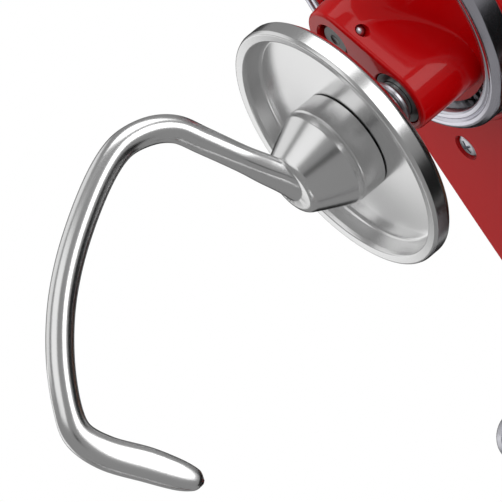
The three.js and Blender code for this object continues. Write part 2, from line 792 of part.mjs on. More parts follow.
const ringGear = () => {
  const teeth = gearOutline(ringTeeth, gearModule, 1.9, 1.2, -0.5);
  return cut(disc(ringOuter, undersideZ + gap, undersideZ + gap + ringHeight, 36),
    spurGear(teeth, undersideZ - 1, undersideZ + ringHeight + 3));
};

function dripRing() {
  const bottom = undersideZ - dripHeight;
  const top = undersideZ - gap;
  return turned([
    [dripInner, bottom + 2], [dripInner + 1.4, bottom + 0.5], [dripOuter - 3.6, bottom],
    [dripOuter - 1.2, bottom + 1.1], [dripOuter, bottom + 3.6], [dripOuter, top],
    [dripInner + 2.2, top], [dripInner + 2.2, bottom + 5], [dripInner, bottom + 4],
    [dripInner, bottom + 2],
  ], 36);
}

// ---- hook ---------------------------------------------------------------------------------

// Drawn from the rim plane of the shield, in its own plane: +X runs across the hook.
// Along the arm: across, height, half thickness in the plane, half breadth out of it.
const armStations = [
  [3, -17.5, 3.5, 6.5],
  [-6, -20.8, 3.6, 6],
  [-16, -25.4, 3.8, 5.2],
  [-28, -31.7, 4.2, 4.6],
  [-35.6, -36, 4.4, 4.4],
  [-40.3, -43, 4.5, 4.4],
  [-42.2, -53, 4.4, 4.4],
  [-39.6, -63.4, 4.4, 4.4],
  [-33, -77, 4.4, 4.4],
  [-24.4, -90.8, 4.4, 4.4],
  [-14.7, -102.6, 4.4, 4.4],
  [-3, -113, 4.4, 4.4],
  [9, -120.6, 4.4, 4.4],
  [17.6, -123.4, 4.8, 4.2],
  [27, -120.2, 5.3, 3.6],
  [37.6, -112.5, 5.4, 3.2],
  [47, -106.2, 4.6, 2.9],
  [51.6, -103, 2, 1.6],
];

function hookArm() {
  const path = new THREE.CatmullRomCurve3(
    armStations.map(([across, height]) => new THREE.Vector3(across, 0, height)), false, "centripetal",
  );
  const rings = [];
  const steps = 2;
  const last = armStations.length - 1;
  const outward = new THREE.Vector3(0, 1, 0);
  for (let step = 0; step <= last * steps; step += 1) {
    const t = step / (last * steps);
    const index = Math.min(Math.floor(t * last), last - 1);
    const share = t * last - index;
    const [, , thickA, broadA] = armStations[index];
    const [, , thickB, broadB] = armStations[index + 1];
    const thick = thickA + (thickB - thickA) * share;
    const broad = broadA + (broadB - broadA) * share;
    const centre = path.getPoint(t);
    const normal = outward.clone().cross(path.getTangent(t));
    const points = [];
    for (let i = 0; i < 8; i += 1) {
      const angle = (i / 8) * 2 * Math.PI;
      points.push(centre.clone()
        .addScaledVector(normal, thick * Math.cos(angle))
        .addScaledVector(outward, broad * Math.sin(angle)));
    }
    rings.push(points);
  }
  return loft(rings);
}

const socketTop = shieldWall + shieldSheet + 6;

// Arm and hub are one forging; the hub is bored for the shaft and slotted for its cross pin.
function doughHook() {
  const hub = turned([
    [0, -coneDrop], [coneRadius - 0.8, -coneDrop], [coneRadius, -coneDrop + 0.8],
    [collarRadius - 0.6, -grooveDrop - 3.4], [collarRadius - 0.2, -grooveDrop - 2.6],
    [collarRadius - 0.2, -grooveDrop - 0.5], [collarRadius - 0.7, -grooveDrop],
    [collarRadius, -grooveDrop + 0.5], [collarRadius, shieldWall - gap],
    [collarRadius - 3, shieldWall - gap], [collarRadius - 3, socketTop], [0, socketTop],
  ], 24);
  const boreEnd = -shaftDrop + shieldDrop - 0.8;
  const bore = disc(agitatorRadius + gap, boreEnd, far, 24);
  const pinTurn = crossPinTurn - (hookTurn - planetAngle) / degree;
  const reach = agitatorRadius + crossPinReach + gap;
  const half = crossPinRadius + 0.4;
  const entry = box(-reach, reach, -half, half, crossPinRise - half, far)
    .rotate([0, 0, pinTurn - bayonetTurn]);
  const locking = disc(reach, crossPinRise - half, crossPinRise + half, 28)
    .intersect(join(...[0, 1 / 3, 2 / 3, 1].map((share) =>
      box(-reach, reach, -half, half, -far, far).rotate([0, 0, pinTurn - share * bayonetTurn]))));
  return cut(join(hub, hookArm()), bore, entry, locking);
}

function shield() {
  const back = shieldWall + shieldSheet;
  const corner = 1.6;
  return turned([
    [collarRadius - 3 + gap, shieldWall], [shieldRadius - shieldSheet - corner, shieldWall],
    [shieldRadius - shieldSheet, shieldWall - corner], [shieldRadius - shieldSheet, 0.7],
    [shieldRadius - shieldSheet - 0.8, 0], [shieldRadius - 0.6, 0], [shieldRadius, 0.6],
    [shieldRadius, back - corner - 0.6], [shieldRadius - corner - 0.6, back],
    [collarRadius - 3 + gap, back], [collarRadius - 3 + gap, shieldWall],
  ], 36);
}

// ---- motor and gear train -----------------------------------------------------------------

// Armature with its commutator, shaft and worm; drawn in head coordinates.
function armature() {
  const shaftEnd = rearBearingY + bearingLength + 3;
  const shaft = alongY(disc(motorShaftRadius, wheelY + wormLength / 2 - 0.5, shaftEnd));
  const core = alongY(disc(armatureRadius, statorStart + 3, statorStart + statorLength - 3, 24));
  const commutator = alongY(disc(12, brushY - 6, brushY + 4, 24));
  const thread = alongY(worm()).translate([0, wheelY, 0]);
  return join(shaft, core, commutator, thread).translate([0, 0, driveZ]);
}

function fan() {
  const blades = [];
  for (let i = 0; i < 6; i += 1) {
    blades.push(box(9, fanRadius, -1, 1, 2, 9).rotate([0, 0, i * 60]));
  }
  return alongY(cut(join(disc(fanRadius, 0, 2.5), disc(10, 0, 9, 24), ...blades),
    disc(motorShaftRadius + gap, -1, 10, 20))).translate([0, fanY, driveZ]);
}

function stator() {
  const start = statorStart;
  const end = statorStart + statorLength;
  return alongY(ring(statorInner, statorOuter, start, end, 28)).translate([0, 0, driveZ]);
}

const bearing = (y) =>
  alongY(ring(motorShaftRadius + gap, bearingRadius, y, y + bearingLength, 16))
    .translate([0, 0, driveZ]);

// Vertical shaft with the worm wheel above and a pinion below, about its own axis.
function wormWheel() {
  const outline = gearOutline(wheelTeeth, wormModule, 1.2, 1.7, 0.5);
  const lead = wormStarts * Math.PI * wormModule;
  const twist = lead / (2 * Math.PI * wormRadius) / wheelPitch;
  const halfFace = wheelFace / 2;
  const toothTurn = Math.PI + Math.PI / wheelTeeth;
  const wheel = loft([-halfFace, halfFace].map((z) =>
    toRing(outline, driveZ + z, 1, toothTurn + twist * z)));
  const pinionOutline = gearOutline(wheelPinionTeeth, spurModule, 1.3, 1.9, 0.5)
    .map(([radius, angle]) => [radius, angle + wheelAngle + Math.PI + Math.PI / wheelPinionTeeth]);
  const low = undersideZ + centreGearRise;
  return join(
    wheel,
    spurGear(pinionOutline, low, low + centreGearFace),
    disc(wheelShaftRadius, gearPocketTop + pocketRoof + gap, driveZ + halfFace + 9, 16),
  );
}

// Bracket that steadies the top of the worm wheel's shaft.
function wormBracket() {
  const foot = gearPocketTop + pocketRoof + gap;
  const top = driveZ + wheelFace / 2 + 4;
  const legX = wheelX + wheelPitch + 3;
  return cut(
    join(
      box(legX, legX + 4, wheelY - 8, wheelY + 8, foot, top + 4),
      box(wheelX - 8, legX + 4, wheelY - 8, wheelY + 8, top, top + 4),
      box(legX - 6, legX + 4, wheelY - 8, wheelY + 1, foot, foot + 3),
    ),
    disc(wheelShaftRadius + gap, top - 1, top + 5, 16).translate([wheelX, wheelY, 0]),
  );
}

// Attachment drive: bevel gear, shaft and square socket, about Z with the gears' point at 0.
function hubDrive() {
  const front = hubDepth + noseY;
  const socket = -noseY - 30;
  return cut(
    join(
      bevelGear(5).rotate([0, 0, 90 - 180 / bevelTeeth]),
      disc(centreShaftRadius, -socket, -bevelPitch + 2, 24),
      disc(9, -socket, front - 8, 24),
    ),
    box(-4.2, 4.2, -4.2, 4.2, -socket - 1, -socket + 11),
  );
}

function hubSleeve() {
  const [front, back] = [noseY - 1.5, noseY + hubDepth];
  const sleeve = alongY(turned([
    [hubBore, front], [hubSleeveRadius, front], [hubSleeveRadius, back],
    [centreShaftRadius + gap, back], [centreShaftRadius + gap, back - 5],
    [hubBore, back - 5], [hubBore, front],
  ], 24)).translate([0, 0, driveZ]);
  return sleeve.subtract(sideHole(knobStem + 0.5, knobY, driveZ, 0, far));
}

// Clamping knob: a lobed grip outside the nose and a stem that reaches the sleeve.
function attachmentKnob() {
  const start = halfWidthAt(knobY) + 4;
  const grip = alongX(turned([[0, start], [knobRadius - 2, start], [knobRadius, start + 2],
    [knobRadius, start + knobLength - 3], [knobRadius - 2.5, start + knobLength],
    [0, start + knobLength]], 18));
  const lobes = [];
  for (let i = 0; i < 6; i += 1) {
    lobes.push(alongX(disc(3, start + 2.5, far, 8)).translate([0, 0, knobRadius + 1.2])
      .rotate([i * 60, 0, 0]));
  }
  return join(cut(grip, ...lobes), alongX(disc(knobStem, hubBore + 0.5, start + 2, 16)))
    .translate([0, knobY, driveZ]);
}

// Cap over the attachment hub, with the knuckle that it swings on.
function hubCover() {
  const face = noseY - 1.5 - gap;
  const cap = alongY(turned([[0, -coverThick], [coverRadius - 3, -coverThick],
    [coverRadius, -coverThick + 2.5], [coverRadius, 0], [hubBore, 0], [hubBore, -1.5], [0, -1.5]], 24))
    .translate([0, face, driveZ]);
  const knuckle = join(
    alongX(disc(knuckleRadius, -knuckleHalf, knuckleHalf)).translate([0, coverHingeY, coverHingeZ]),
    box(-knuckleHalf, knuckleHalf, coverHingeY - 1.5, coverHingeY + 1.5,
      driveZ + coverRadius - 3, coverHingeZ),
  );
  return cut(join(cap, knuckle),
    sideHole(coverPinRadius + gap, coverHingeY, coverHingeZ, -20, 20));
}

// Pin of the cover, with the bracket that holds its two ends to the nose.
function coverPin() {
  const end = knuckleHalf + 4;
  const pin = alongX(disc(coverPinRadius, -end, end, 12)).translate([0, coverHingeY, coverHingeZ]);
  const ear = (x) => box(
    x - 1.5, x + 1.5, coverHingeY - 2, noseY - gap, coverHingeZ - 2.5, coverHingeZ + 2.5,
  );
  return join(pin, ear(end - 1.7), ear(1.7 - end));
}

function speedLever() {
  const wall = halfWidthAt(speedY);
  return join(
    box(wall - 16.5, wall - 14, speedY - 8, speedY + 8, speedZ - 7, speedZ + 7),
    alongX(disc(leverRadius, wall - 14.5, wall + 8)).translate([0, speedY, speedZ]),
  );
}

const speedKnob = () =>
  cut(alongX(turned([[0, 0], [4.5, 0], [7.5, 3], [8.2, 7], [7.2, 11], [4, 13.6], [0, 14.2]], 16)),
    alongX(disc(leverRadius + gap, -1, 6, 16)))
    .translate([halfWidthAt(speedY) + 3, speedY, speedZ]);

const controlPlate = () =>
  cut(box(38, 41, 63, 78, speedZ - 14, speedZ + 12), alongX(disc(3, 30, 50, 16))
    .translate([0, 70, speedZ]));

function brushCap() {
  const wall = halfWidthAt(brushY) + 1;
  const plug = alongX(disc(brushCapRadius - 1.3, wall - 7, wall));
  const head = alongX(disc(brushCapRadius, wall - 0.1, wall + 2.6));
  const slot = box(wall + 1.4, wall + 4, -1, 1, -far, far);
  return cut(join(plug, head), slot).translate([0, brushY, driveZ]);
}

const gland = () =>
  alongY(turned([[3.5, -8], [glandNeck, -8], [glandNeck, gap], [8, gap], [7.4, 4], [6, 10],
    [3.5, 10], [3.5, -8]], 16)).translate([0, baseRearY, glandZ]);

const tailScrew = () =>
  cut(alongY(join(disc(4.4, gap, 2.6, 24), disc(2, -12, gap + 1, 16))),
    box(-6, 6, 1.6, 5, -0.6, 0.6)).translate([0, tailY, tailScrewZ]);

const gearcaseScrew = () =>
  cut(join(disc(screwHead, undersideZ + 0.4, undersideZ + 2.2, 12),
    disc(screwShank, undersideZ + 2, undersideZ + screwLength, 8)),
    box(-3, 3, -0.5, 0.5, undersideZ, undersideZ + 1.2),
    box(-0.5, 0.5, -3, 3, undersideZ, undersideZ + 1.2));

const shaftBushing = () =>
  ring(centreShaftRadius + gap, bushingRadius, gearPocketTop + gap, gearPocketTop + bushingLength);

// ---- assembly -----------------------------------------------------------------------------

const mixer = new THREE.Group();

const stand = new THREE.Group();
mixer.add(stand);
place(stand, "base", base(), enamel);
place(stand, "pedestal", pedestal(), enamel);
footPlaces.forEach(([x, y], i) => {
  place(stand, `foot_${i + 1}`, foot(), rubber).position.set(x, y, 0);
});
place(stand, "bowl_plate", bowlPlate(), polished);
plateScrewPlaces().forEach(([x, y], i) => {
  place(stand, `bowl_plate_screw_${i + 1}`, plateScrew(), satin).position.set(x, y, 0);
});
place(stand, "hinge_pin", hingePin(), satin).position.set(0, hingeY, hingeZ);
place(stand, "hinge_set_screw", setScrew(), satin).position.set(setScrewX, hingeY, 0);
boltPlaces().forEach(([x, y], i) => {
  place(stand, `pedestal_bolt_${i + 1}`, bolt(), satin).position.set(x, y, 0);
});
place(stand, "lock_lever", lockLever(), satin);
place(stand, "cord_gland", gland(), rubber);

const tilt = new THREE.Group();
tilt.position.set(0, hingeY, hingeZ);
tilt.rotation.x = -openAngle * degree;
mixer.add(tilt);
const head = new THREE.Group();
head.position.set(0, -hingeY, -hingeZ);
tilt.add(head);
place(head, "lower_gearcase", lowerGearcase(), enamel);
place(head, "upper_housing", upperHousing(), enamel);
place(head, "end_cover", endCover(), enamel);
place(head, "end_cover_screw", tailScrew(), satin);
place(head, "trim_band", trimBand(), polished);
place(head, "drip_ring", dripRing(), satin);
place(head, "ring_gear", ringGear(), gearSteel).rotation.z = planetAngle;
place(head, "shaft_bushing", shaftBushing(), bronze);
screwPlaces.forEach(([x, y], i) => {
  place(head, `gearcase_screw_${i + 1}`, gearcaseScrew(), satin).position.set(x, y, 0);
});
place(head, "motor_stator", stator(), copper);
place(head, "front_bearing", bearing(frontBearingY), bronze);
place(head, "rear_bearing", bearing(rearBearingY), bronze);
place(head, "brush_cap_left", brushCap(), blackPlastic);
place(head, "brush_cap_right", brushCap().mirror([1, 0, 0]), blackPlastic);
place(head, "control_plate", controlPlate(), gearSteel);
place(head, "worm_bracket", wormBracket(), gearSteel);
place(head, "attachment_hub", hubSleeve(), polished);
place(head, "hub_cover_pin", coverPin(), satin);
place(head, "speed_lever", speedLever(), satin);
place(head, "speed_knob", speedKnob(), blackPlastic);
place(head, "attachment_knob", attachmentKnob(), blackPlastic);
place(head, "hub_cover", hubCover(), polished);
place(head, "armature", armature(), copper);
place(head, "cooling_fan", fan(), blackPlastic);
place(head, "worm_wheel", wormWheel(), bronze).position.set(wheelX, wheelY, 0);
const hubShaft = place(head, "hub_drive_shaft", hubDrive(), gearSteel);
hubShaft.position.z = driveZ;
hubShaft.rotation.x = -90 * degree;

const planet = new THREE.Group();
planet.position.z = faceZ;
planet.rotation.z = planetAngle;
head.add(planet);
place(planet, "planetary", planetary(), enamel);
place(planet, "centre_shaft", centreShaft(), gearSteel);
place(planet, "lock_pin", lockPin(), satin);
place(planet, "centre_gear", centreGear(), gearSteel).rotation.z = wheelAngle - planetAngle;
place(planet, "centre_bevel_gear", centreBevel(), gearSteel).rotation.z = -90 * degree - planetAngle;

const agitator = new THREE.Group();
agitator.position.x = agitatorOffset;
planet.add(agitator);
place(agitator, "agitator_shaft", agitatorShaft(), polished);
place(agitator, "agitator_pinion", agitatorPinion(), gearSteel);
place(agitator, "circlip", circlip(), satin);
place(agitator, "thrust_washer", thrustWasher(), gearSteel);
place(agitator, "cross_pin", crossPin(), satin);

const hook = new THREE.Group();
hook.position.z = -shieldDrop;
hook.rotation.z = hookTurn - planetAngle;
agitator.add(hook);
place(hook, "dough_hook", doughHook(), polished);
place(hook, "splash_shield", shield(), polished);

const bounds = new THREE.Box3().setFromObject(mixer, true);
const middle = bounds.getCenter(new THREE.Vector3());
mixer.position.set(-middle.x, -middle.y, -bounds.min.z);

const group = new THREE.Group();
group.add(mixer);
group.updateMatrixWorld(true);

export default group;
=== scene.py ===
import json
import math

import bmesh
import bpy
from mathutils import Matrix, Vector


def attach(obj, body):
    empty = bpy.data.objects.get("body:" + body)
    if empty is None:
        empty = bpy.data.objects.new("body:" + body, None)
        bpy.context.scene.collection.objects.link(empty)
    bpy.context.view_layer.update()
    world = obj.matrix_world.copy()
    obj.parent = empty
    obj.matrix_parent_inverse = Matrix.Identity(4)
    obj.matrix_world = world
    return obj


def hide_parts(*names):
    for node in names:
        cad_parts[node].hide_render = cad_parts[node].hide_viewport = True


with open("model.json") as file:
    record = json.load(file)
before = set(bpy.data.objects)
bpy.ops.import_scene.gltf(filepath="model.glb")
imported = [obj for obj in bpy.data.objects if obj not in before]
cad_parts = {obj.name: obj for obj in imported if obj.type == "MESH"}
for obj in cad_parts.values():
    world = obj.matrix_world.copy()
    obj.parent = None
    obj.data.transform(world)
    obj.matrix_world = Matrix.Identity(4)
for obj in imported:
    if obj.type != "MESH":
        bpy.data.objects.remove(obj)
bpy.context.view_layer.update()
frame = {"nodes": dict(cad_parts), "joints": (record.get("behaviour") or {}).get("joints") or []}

# ---- camera -------------------------------------------------------------------------------
# A long lens stands on the mixer's right, a little in front of it and below the tipped head.
# It is aimed past the splash shield at the middle of the dough hook.


def joint(name):
    return next(row for row in frame["joints"] if row["name"] == name)


def joint_place(name):
    return Vector(joint(name)["pos_m"])


view_azimuth, view_elevation, view_roll = (math.radians(turn) for turn in (65.3, -5.84, 6.85))
view_distance = 1.5
view_width = 0.1556
sensor_width = 36

rim_centre = joint_place("hook_turn")
toward = Vector((
    math.cos(view_elevation) * math.sin(view_azimuth),
    -math.cos(view_elevation) * math.cos(view_azimuth),
    math.sin(view_elevation),
))
level_right = Vector((0, 0, 1)).cross(toward).normalized()
view_right = Matrix.Rotation(view_roll, 3, toward) @ level_right
view_up = toward.cross(view_right)
aim = rim_centre - 0.02564 * view_right - 0.03119 * view_up

lens = bpy.data.cameras.new("camera")
lens.sensor_width = sensor_width
lens.lens = sensor_width * view_distance / view_width
lens.clip_start = 0.01
camera = bpy.data.objects.new("camera", lens)
camera.matrix_world = Matrix.Translation(aim + view_distance * toward) @ Matrix(
    (view_right, view_up, toward)).transposed().to_4x4()
bpy.context.scene.collection.objects.link(camera)
bpy.context.scene.camera = camera

# ---- studio -------------------------------------------------------------------------------
# A pale floor in a white room. Soft boxes give the long bright reflections in the steel, and
# black flags beside them, seen only in reflections, give it its dark edges. The floor, the
# stand and the lower gearcase are left out of reflections, which keeps the steel neutral.


class Shade:
    """A socket in a node tree. Arithmetic on it adds Math nodes."""

    def __init__(self, tree, socket=None):
        self.tree = tree
        self.socket = socket

    def node(self, kind, settings=None, inputs=None, output=0):
        made = self.tree.nodes.new(kind)
        for name, value in (settings or {}).items():
            setattr(made, name, value)
        for name, value in (inputs or {}).items():
            if isinstance(value, Shade):
                self.tree.links.new(value.socket, made.inputs[name])
            else:
                made.inputs[name].default_value = value
        return Shade(self.tree, made.outputs[output])

    def math(self, operation, *values):
        return self.node("ShaderNodeMath", {"operation": operation}, dict(enumerate(values)))

    def __add__(self, other):
        return self.math("ADD", self, other)

    def __mul__(self, other):
        return self.math("MULTIPLY", self, other)

    __radd__ = __add__
    __rmul__ = __mul__


def new_finish(name, constants):
    """A material with its constants set, and the means to feed the rest of its shader."""
    material = bpy.data.materials.new(name)
    material.use_nodes = True
    shader = material.node_tree.nodes["Principled BSDF"]
    for socket, value in constants.items():
        shader.inputs[socket].default_value = value
    return material, Shade(material.node_tree), shader


def feed(shader, **values):
    for name, value in values.items():
        socket = shader.inputs[name.replace("_", " ")]
        value.tree.links.new(value.socket, socket)


def noise(place, scale, detail=2.0, distortion=0.0):
    return place.node("ShaderNodeTexNoise", {}, {
        "Vector": place, "Scale": scale, "Detail": detail, "Distortion": distortion})


def between(share, low, high):
    """A colour that runs from one colour to another."""
    return share.node("ShaderNodeMix", {"data_type": "RGBA"}, {
        "Factor": share, 6: (*low, 1), 7: (*high, 1)}, output=2)


def bump(height, strength, distance):
    return height.node("ShaderNodeBump", {}, {
        "Height": height, "Strength": strength, "Distance": distance})


floor_finish, shade, shader = new_finish("studio_floor", {"Roughness": 0.6})
place = shade.node("ShaderNodeTexCoord", output="Object")
mottle = noise(place, 3.0, 4.0)
feed(shader, Base_Color=between(mottle, (0.80, 0.80, 0.80), (0.86, 0.86, 0.86)))

floor_size = 6
floor_form = bmesh.new()
bmesh.ops.create_grid(floor_form, x_segments=2, y_segments=2, size=floor_size)
floor_mesh = bpy.data.meshes.new("studio_floor")
floor_form.to_mesh(floor_mesh)
floor_mesh.materials.append(floor_finish)
floor = bpy.data.objects.new("studio_floor", floor_mesh)
floor.location.z = -0.0005
bpy.context.scene.collection.objects.link(floor)
floor.visible_glossy = False

world = bpy.data.worlds.new("white_room")
world.use_nodes = True
bpy.context.scene.world = world
room = Shade(world.node_tree)
backdrop = world.node_tree.nodes["Background"]
seen = room.node("ShaderNodeLightPath", output="Is Camera Ray")
scattered = room.node("ShaderNodeLightPath", output="Is Diffuse Ray")
brightness = 0.26 + 0.74 * seen + 0.34 * scattered
world.node_tree.links.new(brightness.socket, backdrop.inputs["Strength"])
backdrop.inputs["Color"].default_value = (1, 1, 1, 1)

bpy.context.scene.view_settings.view_transform = "Standard"


def facing(azimuth, elevation, distance):
    """A place round the hook that looks at it: azimuth 0 is in front of the mixer, 90 its right."""
    turn, rise = math.radians(azimuth), math.radians(elevation)
    away = Vector((
        math.cos(rise) * math.sin(turn), -math.cos(rise) * math.cos(turn), math.sin(rise)))
    return Matrix.Translation(rim_centre + distance * away) @ away.to_track_quat(
        "Z", "Y").to_matrix().to_4x4()


def soft_box(name, place, width, height, radiance):
    """An area light that looks equally bright from everywhere in front of it."""
    light = bpy.data.lights.new(name, "AREA")
    light.shape = "RECTANGLE"
    light.size, light.size_y = width, height
    light.energy = radiance * math.pi * width * height
    lamp = bpy.data.objects.new(name, light)
    lamp.matrix_world = place
    bpy.context.scene.collection.objects.link(lamp)


soft_box("box_right", facing(98, 27, 1.3), 0.6, 0.8, 2.0)
soft_box("box_top", facing(35, 68, 1.3), 1.0, 0.8, 1.5)
soft_box("box_front", facing(15, 10, 1.5), 1.2, 1.2, 0.7)
soft_box("box_left", facing(-48, 15, 1.5), 1.2, 1.3, 0.55)
soft_box("box_low", facing(-72, -25, 0.65), 0.26, 0.4, 0.75)

flag_finish, shade, shader = new_finish("black_flag", {"Roughness": 0.9, "Specular IOR Level": 0.0})
place = shade.node("ShaderNodeTexCoord", output="Object")
weave = noise(place, 60.0)
feed(shader, Base_Color=between(weave, (0.002, 0.002, 0.002), (0.006, 0.006, 0.006)))

# azimuth, elevation, distance, width, height
flags = [
    (150, 5, 1.1, 0.75, 1.6), (-170, 5, 1.1, 0.8, 1.6), (-128, 5, 1.1, 0.5, 1.6),
    (-99, 5, 1.1, 0.5, 1.0), (-165, 45, 1.1, 1.3, 0.4), (62, -14, 1.9, 0.5, 0.35),
]
for number, (azimuth, elevation, distance, width, height) in enumerate(flags, 1):
    flag_form = bmesh.new()
    bmesh.ops.create_grid(flag_form, x_segments=1, y_segments=1, size=0.5)
    bmesh.ops.scale(flag_form, vec=(width, height, 1), verts=flag_form.verts)
    flag_mesh = bpy.data.meshes.new(f"flag_{number}")
    flag_form.to_mesh(flag_mesh)
    flag_mesh.materials.append(flag_finish)
    flag = bpy.data.objects.new(f"flag_{number}", flag_mesh)
    flag.matrix_world = facing(azimuth, elevation, distance)
    flag.visible_camera = flag.visible_diffuse = flag.visible_shadow = False
    bpy.context.scene.collection.objects.link(flag)

# ---- base ---------------------------------------------------------------------------------
# A die-cast shell with a round front, drawn-in flanks and a square rear, open underneath. It
# is enamelled gloss red; everything else bolts to it. Sizes from here on are millimetres.

enamel, shade, shader = new_finish("red_enamel", {
    "IOR": 1.5, "Specular IOR Level": 0.1, "Coat Weight": 0.45, "Coat Roughness": 0.05,
})
place = shade.node("ShaderNodeTexCoord", output="Object")
drift = noise(place, 22.0, 3.0)
peel = noise(place, 620.0, 1.0)
feed(
    shader,
    Base_Color=between(drift, (0.52, 0.0, 0.0015), (0.62, 0.0004, 0.0025)),
    Roughness=0.24 + 0.10 * drift,
    Normal=bump(peel, 0.05, 0.0002),
)

mm = 0.001
closed_hinge = Vector((0, 165, 230))
hinge = joint_place("head_tilt")
stand_frame = Matrix.Translation(hinge) @ Matrix.Scale(mm, 4) @ Matrix.Translation(-closed_hinge)


def make(name, form, place, finish, edge=0.0):
    """A named object from a form in millimetres, with its sharp edges rounded by `edge`."""
    bmesh.ops.remove_doubles(form, verts=form.verts, dist=1e-4)
    bmesh.ops.dissolve_degenerate(form, edges=form.edges, dist=1e-4)
    bmesh.ops.recalc_face_normals(form, faces=form.faces)
    mesh = bpy.data.meshes.new(name)
    form.to_mesh(mesh)
    form.free()
    mesh.transform(place)
    mesh.materials.append(finish)
    mesh.shade_smooth()
    mesh.set_sharp_from_angle(angle=math.radians(38))
    made = bpy.data.objects.new(name, mesh)
    bpy.context.scene.collection.objects.link(made)
    if edge:
        rounding = made.modifiers.new("rounded_edges", "BEVEL")
        rounding.width = edge * mm
        rounding.segments = 3
        rounding.limit_method = "ANGLE"
        rounding.angle_limit = math.radians(38)
    even = made.modifiers.new("even_shading", "WEIGHTED_NORMAL")
    even.keep_sharp = True
    return made


def loft(rings):
    """A skin through rings of the same number of points, with a flat face at each end."""
    form = bmesh.new()
    rows = [[form.verts.new(point) for point in ring] for ring in rings]
    for low, high in zip(rows, rows[1:]):
        for i, j in zip(range(len(low)), [*range(1, len(low)), 0]):
            form.faces.new((low[i], low[j], high[j], high[i]))
    form.faces.new(rows[0][::-1])
    form.faces.new(rows[-1])
    return form


base_top = 42
foot_height = 5
base_radius = 110
base_front = Vector((0, -8))
base_rear = closed_hinge.y + 78
base_rear_half = 66
base_corner = 42


def arc(centre, radius, start, end, count):
    """Points on an arc between two angles in degrees."""
    turns = [math.radians(start + (end - start) * i / (count - 1)) for i in range(count)]
    return [
        Vector((centre[0] + radius * math.cos(t), centre[1] + radius * math.sin(t))) for t in turns]


def bezier(a, b, c, d, count):
    points = []
    for i in range(1, count):
        t = i / count
        points.append(
            a * (1 - t) ** 3 + 3 * b * t * (1 - t) ** 2 + 3 * c * t * t * (1 - t) + d * t ** 3)
    return points


def base_plan():
    lean = 14
    front = arc(base_front, base_radius, -90, lean, 40)
    rear = arc(
        (base_rear_half - base_corner, base_rear - base_corner), base_corner, 0, 90, 24)
    side = bezier(front[-1], front[-1] + Vector((-12, 44)), rear[0] - Vector((0, 60)), rear[0], 30)
    right = [*front, *side, *rear]
    left = [Vector((-x, y)) for x, y in reversed(right[1:])]
    return right + left


def inset(points, amount):
    """A closed outline drawn in by an amount along its own normals."""
    moved = []
    for i, point in enumerate(points):
        run = (points[(i + 1) % len(points)] - points[i - 1]).normalized()
        moved.append(point + amount * Vector((-run.y, run.x)))
    return moved


plan = base_plan()
# inset and height: up the inside, under the rim, up the outside and over the rounded top
base_edge = [
    (9, 36), (9, foot_height + 1), (8, foot_height), (3.4, foot_height), (1.2, foot_height + 1),
    (0.2, foot_height + 3), (0, foot_height + 8), (0, 24), (0.3, 28),
]
base_edge += [(14 - 13.7 * math.cos(t), 28.5 + 13.5 * math.sin(t))
              for t in (math.radians(6 * step) for step in range(1, 16))]
base = make("base_casting", loft([
    [(x, y, height) for x, y in inset(plan, amount)] for amount, height in base_edge
]), stand_frame, enamel)
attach(base, "stand")
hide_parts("base")
base.visible_glossy = False

# ---- feet ---------------------------------------------------------------------------------
# Five moulded rubber feet with a stem pushed up into the base and a groove round the sole.

rubber, shade, shader = new_finish("black_rubber", {"Specular IOR Level": 0.3})
place = shade.node("ShaderNodeTexCoord", output="Object")
bloom = noise(place, 180.0, 4.0)
feed(
    shader,
    Base_Color=between(bloom, (0.012, 0.012, 0.013), (0.03, 0.03, 0.031)),
    Roughness=0.6 + 0.25 * bloom,
    Normal=bump(bloom, 0.2, 0.0002),
)


def rounded(corners):
    """An outline whose corners, given as (across, height, radius), are turned into arcs."""
    outline = []
    for i, (across, height, radius) in enumerate(corners):
        corner = Vector((across, height))
        if not radius or i in (0, len(corners) - 1):
            outline.append(corner)
            continue
        before = (Vector(corners[i - 1][:2]) - corner).normalized()
        after = (Vector(corners[i + 1][:2]) - corner).normalized()
        half = before.angle(after) / 2
        centre = corner + (before + after).normalized() * radius / math.sin(half)
        start = corner + before * radius / math.tan(half) - centre
        sweep = math.pi - 2 * half
        side = 1 if before.x * after.y - before.y * after.x < 0 else -1
        steps = max(2, round(math.degrees(sweep) / 11))
        for step in range(steps + 1):
            outline.append(centre + Matrix.Rotation(side * sweep * step / steps, 2) @ start)
    return outline


def revolve(outline, sides=72, closed=False):
    """A skin of revolution about Z from (radius, height) points."""
    form = bmesh.new()
    rows = []
    for radius, height in outline:
        turns = [2 * math.pi * i / sides for i in range(sides if radius > 1e-6 else 1)]
        rows.append([
            form.verts.new((radius * math.cos(t), radius * math.sin(t), height)) for t in turns])
    for low, high in zip(rows, rows[1:] + rows[:1] if closed else rows[1:]):
        for i in range(sides):
            corners = [low[i % len(low)], low[(i + 1) % len(low)],
                       high[(i + 1) % len(high)], high[i % len(high)]]
            corners = list(dict.fromkeys(corners))
            if len(corners) > 2:
                form.faces.new(corners)
    return form


foot_places = [(72, -62), (-72, -62), (84, 26), (-84, 26), (0, base_rear - 29)]
for number, (x, y) in enumerate(foot_places, 1):
    outline = rounded([
        (0, 0.8, 0), (8, 0.8, 0.3), (8.6, 0, 0.3), (12.6, 0, 0.9), (13.7, 4.7, 0.5), (5, 4.7, 0.4),
        (4.8, 14.6, 0.8), (0, 14.6, 0),
    ])
    foot = make(f"rubber_foot_{number}", revolve(outline, 48),
                stand_frame @ Matrix.Translation((x, y, 0)), rubber)
    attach(foot, "stand")
    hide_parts(f"foot_{number}")

# ---- bowl plate ---------------------------------------------------------------------------
# A turned and polished steel plate with a rim in three lengths, between which the bowl's lugs
# drop in and turn to lock. Three countersunk screws hold it to the base.

